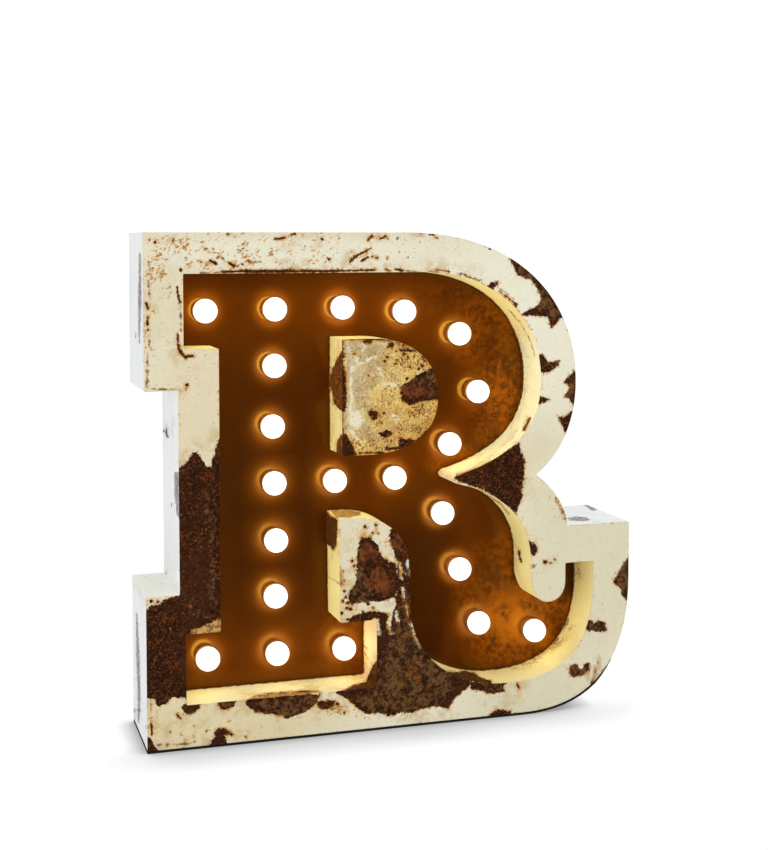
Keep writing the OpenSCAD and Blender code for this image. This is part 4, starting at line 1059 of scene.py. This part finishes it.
# Sockets: brown moulding painted bright on the side as if lit by its globe, dark on the front face as if shaded, and
# dimmer at the sockets listed here; this is painted light and shade.
SOCKET_SHADE = (0, 0, 0, 0, 0, 0.1, 0.9, 0, 0, 0.5, 0.9, 0.3, 0.4, 0.95, 0.85, 0, 0, 0, 0.1, 0.7, 0.8)
socket = Look("socket_brown")
side_y = socket.node("ShaderNodeSeparateXYZ")
socket.put(side_y.inputs[0], socket.coord)
PHENOLIC_PAINTED_LIGHT = socket.set(rough=0.42, spec=0.4, color=socket.mix(
    socket.ramp(side_y.outputs[1], -0.0042, -0.0039), (0.046, 0.0135, 0.0012),
    socket.mix(socket.region([(x, z, 24, 24, m) for (x, z), m in zip(LAMPS, SOCKET_SHADE) if m]),
               socket.mix(socket.ramp(socket.noise(60, 4), 0.38, 0.64), (0.31, 0.088, 0.017), (0.37, 0.108, 0.021)),
               (0.15, 0.044, 0.0090)))).mat
BLACK = plastic_look("moulded_black", (0.022, 0.022, 0.024), (0.034, 0.034, 0.036), 0.42)
ROCKER = plastic_look("rocker_black", (0.018, 0.018, 0.019), (0.028, 0.028, 0.030), 0.30, 1600)
# The near-black rubber strip under the base is a real part that also stands in for the dark contact shade along the
# bottom edge (painted shade).
RUBBER_AND_SHADE_LINE = plastic_look("strip_rubber", (0.006, 0.006, 0.006), (0.010, 0.010, 0.010), 0.75, 700, (0.02, 0.02, 0.02))
BOARD = plastic_look("board_green", (0.020, 0.13, 0.055), (0.016, 0.095, 0.040), 0.35, 500)
PARTS = plastic_look("board_parts", (0.035, 0.12, 0.070), (0.028, 0.09, 0.055), 0.4, 700)
RED = plastic_look("wire_red", (0.42, 0.035, 0.025), (0.33, 0.028, 0.020), 0.4, 900)
PHOSPHOR = plastic_look("led_phosphor", (0.80, 0.62, 0.12), (0.72, 0.54, 0.10), 0.5, 900)

# ---- sheet metal --------------------------------------------------------------------------
outer, channel, island = outline(OUTER, 1.5), outline(CHANNEL, 1.5), outline(ISLAND, 1.2)

piece(sheet_face("front_sheet", outer, [channel], "face", 2.4), CREAM, "cream_paint", "face_rim")
piece(sheet_face("island_sheet", island, [], "island", 1.8), ISLE, "cream_paint", "counter_face")
piece(wall_ring("outer_wall", outer, -SHEET, Y_FRONT + SHEET, Y_REAR, "side", 30, None), SIDE, "cream_paint",
      "outer_return")
piece(wall_ring("channel_wall", channel, SHEET, Y_FRONT + SHEET, Y_PLATE, "wall", 22, None), INNER, "cream_paint",
      "channel_return")
piece(wall_ring("island_wall", island, -SHEET, Y_FRONT + SHEET, Y_PLATE, "island_wall", 22, None), ISLE_WALL,
      "cream_paint", "counter_return")


# ---- globes -------------------------------------------------------------------------------
def globes():
    """Opal globes with a short neck, one shell each, turned about their own axes."""
    shell, n = Shell(), 40
    profile = [(0.0, -18.5)]
    for i in range(1, 21):
        a = math.radians(180 - i * 7.6)
        profile.append((8.5 * math.sin(a), -10.0 + 8.5 * math.cos(a)))
    profile += [(4.05, -1.6), (3.9, 0.8), (0.0, 0.8)]
    turn = np.arange(n) * 2 * math.pi / n
    for x, z in LAMPS:
        rings = []
        for r, y in profile:
            if r == 0.0:
                rings.append(shell.add([(x, y, z)]))
            else:
                rings.append(shell.add(np.stack((x + r * np.cos(turn), np.full(n, y), z + r * np.sin(turn)), 1)))
        for a, b in zip(rings, rings[1:]):
            if len(a) == 1:
                shell.faces.extend((a[0], b[(i + 1) % n], b[i]) for i in range(n))
            elif len(b) == 1:
                shell.faces.extend((a[i], a[(i + 1) % n], b[0]) for i in range(n))
            else:
                shell.strip(a, b)
    return shell.build("opal_globes", sharp=60)


piece(globes(), OPAL, "opal_glass", "bulb_globes")

# ---- marks on the rocker ------------------------------------------------------------------
def rocker_marks():
    """A painted bar and ring on the rocker's two faces, standing a hair proud of them."""
    shell = Shell()
    lean, tilt = math.atan2(1.65, 7.8), math.radians(-12)
    turn = np.arange(36) * 2 * math.pi / 36

    def lay(flat, side, height):
        v = 4.3 + flat[:, 1]
        y = 2.0 + v * math.sin(lean) + height * math.cos(lean)
        z = side * (v * math.cos(lean) - height * math.sin(lean))
        return shell.add(np.stack((106 + flat[:, 0], 29 + y * math.cos(tilt) - z * math.sin(tilt),
                                   25 + y * math.sin(tilt) + z * math.cos(tilt)), 1))

    def band(outer, inner, side):
        rings = [lay(p, side, h) for p, h in ((outer, -0.2), (outer, 0.05), (inner, 0.05), (inner, -0.2))]
        for a, b in zip(rings, rings[1:] + rings[:1]):
            shell.strip(b, a) if side < 0 else shell.strip(a, b)

    circle = np.stack((np.cos(turn), np.sin(turn)), 1)
    band(circle * 1.6, circle * 1.15, 1)
    ends = np.where(circle[:, 1:] > 0, 1.25, -1.25) * (0, 1)
    bar = circle * 0.3 + ends
    low, high = lay(bar, -1, -0.2), lay(bar, -1, 0.05)
    shell.strip(high, low)
    shell.faces.append(tuple(high[::-1]))
    shell.faces.append(tuple(low))
    return shell.build("rocker_marks", sharp=40)


piece(rocker_marks(), plain_paint("mark_white", (0.80, 0.79, 0.74), (0.72, 0.71, 0.66)), "cover_paint", body="rocker")

# ---- parts taken as they are --------------------------------------------------------------
LOOKS = {
    "lamp_plate": PLATE, "plate_brackets": ZINC, "plate_screws": ZINC, "lamp_sockets": PHENOLIC_PAINTED_LIGHT,
    "socket_nuts": PHENOLIC_PAINTED_LIGHT, "bulb_caps": BRASS, "led_discs": PHOSPHOR, "socket_contacts": BRASS, "supply_wire": RED,
    "return_wire": BLACK, "driver_case": BLACK, "driver_board": BOARD, "driver_parts": PARTS, "driver_lid": BLACK,
    "driver_lid_screws": ZINC, "driver_mount_screws": ZINC, "power_leads": BLACK, "inlet_jack": BLACK,
    "inlet_pin": BRASS, "inlet_nut": ZINC, "switch_housing": BLACK, "switch_rocker": ROCKER, "switch_terminals": BRASS,
    "back_cover": COVER, "cover_brackets": ZINC, "cover_screws": ZINC, "base_strip": RUBBER_AND_SHADE_LINE}
for node, look in LOOKS.items():
    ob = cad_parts[node]
    ob.data.materials.clear()
    ob.data.materials.append(look)

# ---- stage --------------------------------------------------------------------------------
floor_mesh = bpy.data.meshes.new("floor")
floor_mesh.from_pydata([(-9, -9, 0), (9, -9, 0), (9, 9, 0), (-9, 9, 0)], [], [(0, 1, 2, 3)])
floor = bpy.data.objects.new("floor", floor_mesh)
scene.collection.objects.link(floor)
# The floor's contact shadow is painted: for the camera the floor is black and glows, and ambient occlusion dims that
# glow near the letter (painted shadow), a little less under the toe.
pale = Look("pale_floor")
ray = pale.node("ShaderNodeLightPath").outputs
seen, mirrored = ray["Is Camera Ray"], ray["Is Glossy Ray"]
nooks = []
for reach in (0.050, 0.016):                    # a wide soft shadow in front, a narrow one beside the letter
    nook = pale.node("ShaderNodeAmbientOcclusion")
    nook.samples, nook.inputs["Distance"].default_value = 16, reach
    nooks.append(nook.outputs["AO"])
spot = pale.node("ShaderNodeSeparateXYZ")
pale.put(spot.inputs[0], pale.coord)
beside = pale.math("MULTIPLY", pale.ramp(spot.outputs[1], -0.060, -0.015), pale.blend(pale.ramp(spot.outputs[0], 0.06, -0.14), 0.85, 1.0))
toe = pale.math("MULTIPLY", pale.ramp(spot.outputs[0], 0.07, 0.16), 0.36)
open_air = pale.ramp(pale.blend(toe, pale.blend(beside, *nooks), 1.0), 0.42, 0.99, smooth=False)
white_floor = pale.mix(pale.noise(2.0, 2), (0.905, 0.905, 0.905), (0.91, 0.91, 0.91))
pale.set(color=pale.mix(seen, pale.mix(mirrored, white_floor, (0.1, 0.1, 0.1)), (0.0, 0.0, 0.0)), rough=0.9, spec=0.0,
         glow=pale.mix(seen, (0.86, 0.93, 1.0), (1.0, 1.0, 1.0)),
         glow_power=pale.blend(seen, pale.blend(mirrored, 0.16, 0.0), pale.blend(open_air, 0.33, 1.03)))
floor_mesh.materials.append(pale.mat)

world = bpy.data.worlds.new("studio")
scene.world = world
world.use_nodes = True
tree = world.node_tree
tree.nodes.clear()
sky = tree.nodes.new("ShaderNodeBackground")
end = tree.nodes.new("ShaderNodeOutputWorld")
path = tree.nodes.new("ShaderNodeLightPath")
gloss = tree.nodes.new("ShaderNodeMath")
gloss.operation = "MULTIPLY_ADD"               # a darker room in reflections
tree.links.new(path.outputs["Is Glossy Ray"], gloss.inputs[0])
gloss.inputs[1].default_value, gloss.inputs[2].default_value = -0.82, 1.0
white = tree.nodes.new("ShaderNodeMath")
white.operation = "MULTIPLY_ADD"               # pure white behind the object
tree.links.new(path.outputs["Is Camera Ray"], white.inputs[0])
white.inputs[1].default_value = 0.15
tree.links.new(gloss.outputs[0], white.inputs[2])
sky.inputs[0].default_value = (0.985, 0.995, 1.0, 1.0)
tree.links.new(white.outputs[0], sky.inputs[1])
tree.links.new(sky.outputs[0], end.inputs[0])


sun_data = bpy.data.lights.new("overhead", "SUN")
sun_data.energy, sun_data.angle = 0.48, math.radians(75)
sun = bpy.data.objects.new("overhead", sun_data)
scene.collection.objects.link(sun)
sun.rotation_mode = "QUATERNION"
sun.rotation_quaternion = Vector((0.02, 0.12, -1.0)).to_track_quat("-Z", "Y")

scene.view_settings.view_transform = "Standard"
scene.view_settings.look = "None"
scene.view_settings.exposure, scene.view_settings.gamma = 0.0, 1.0
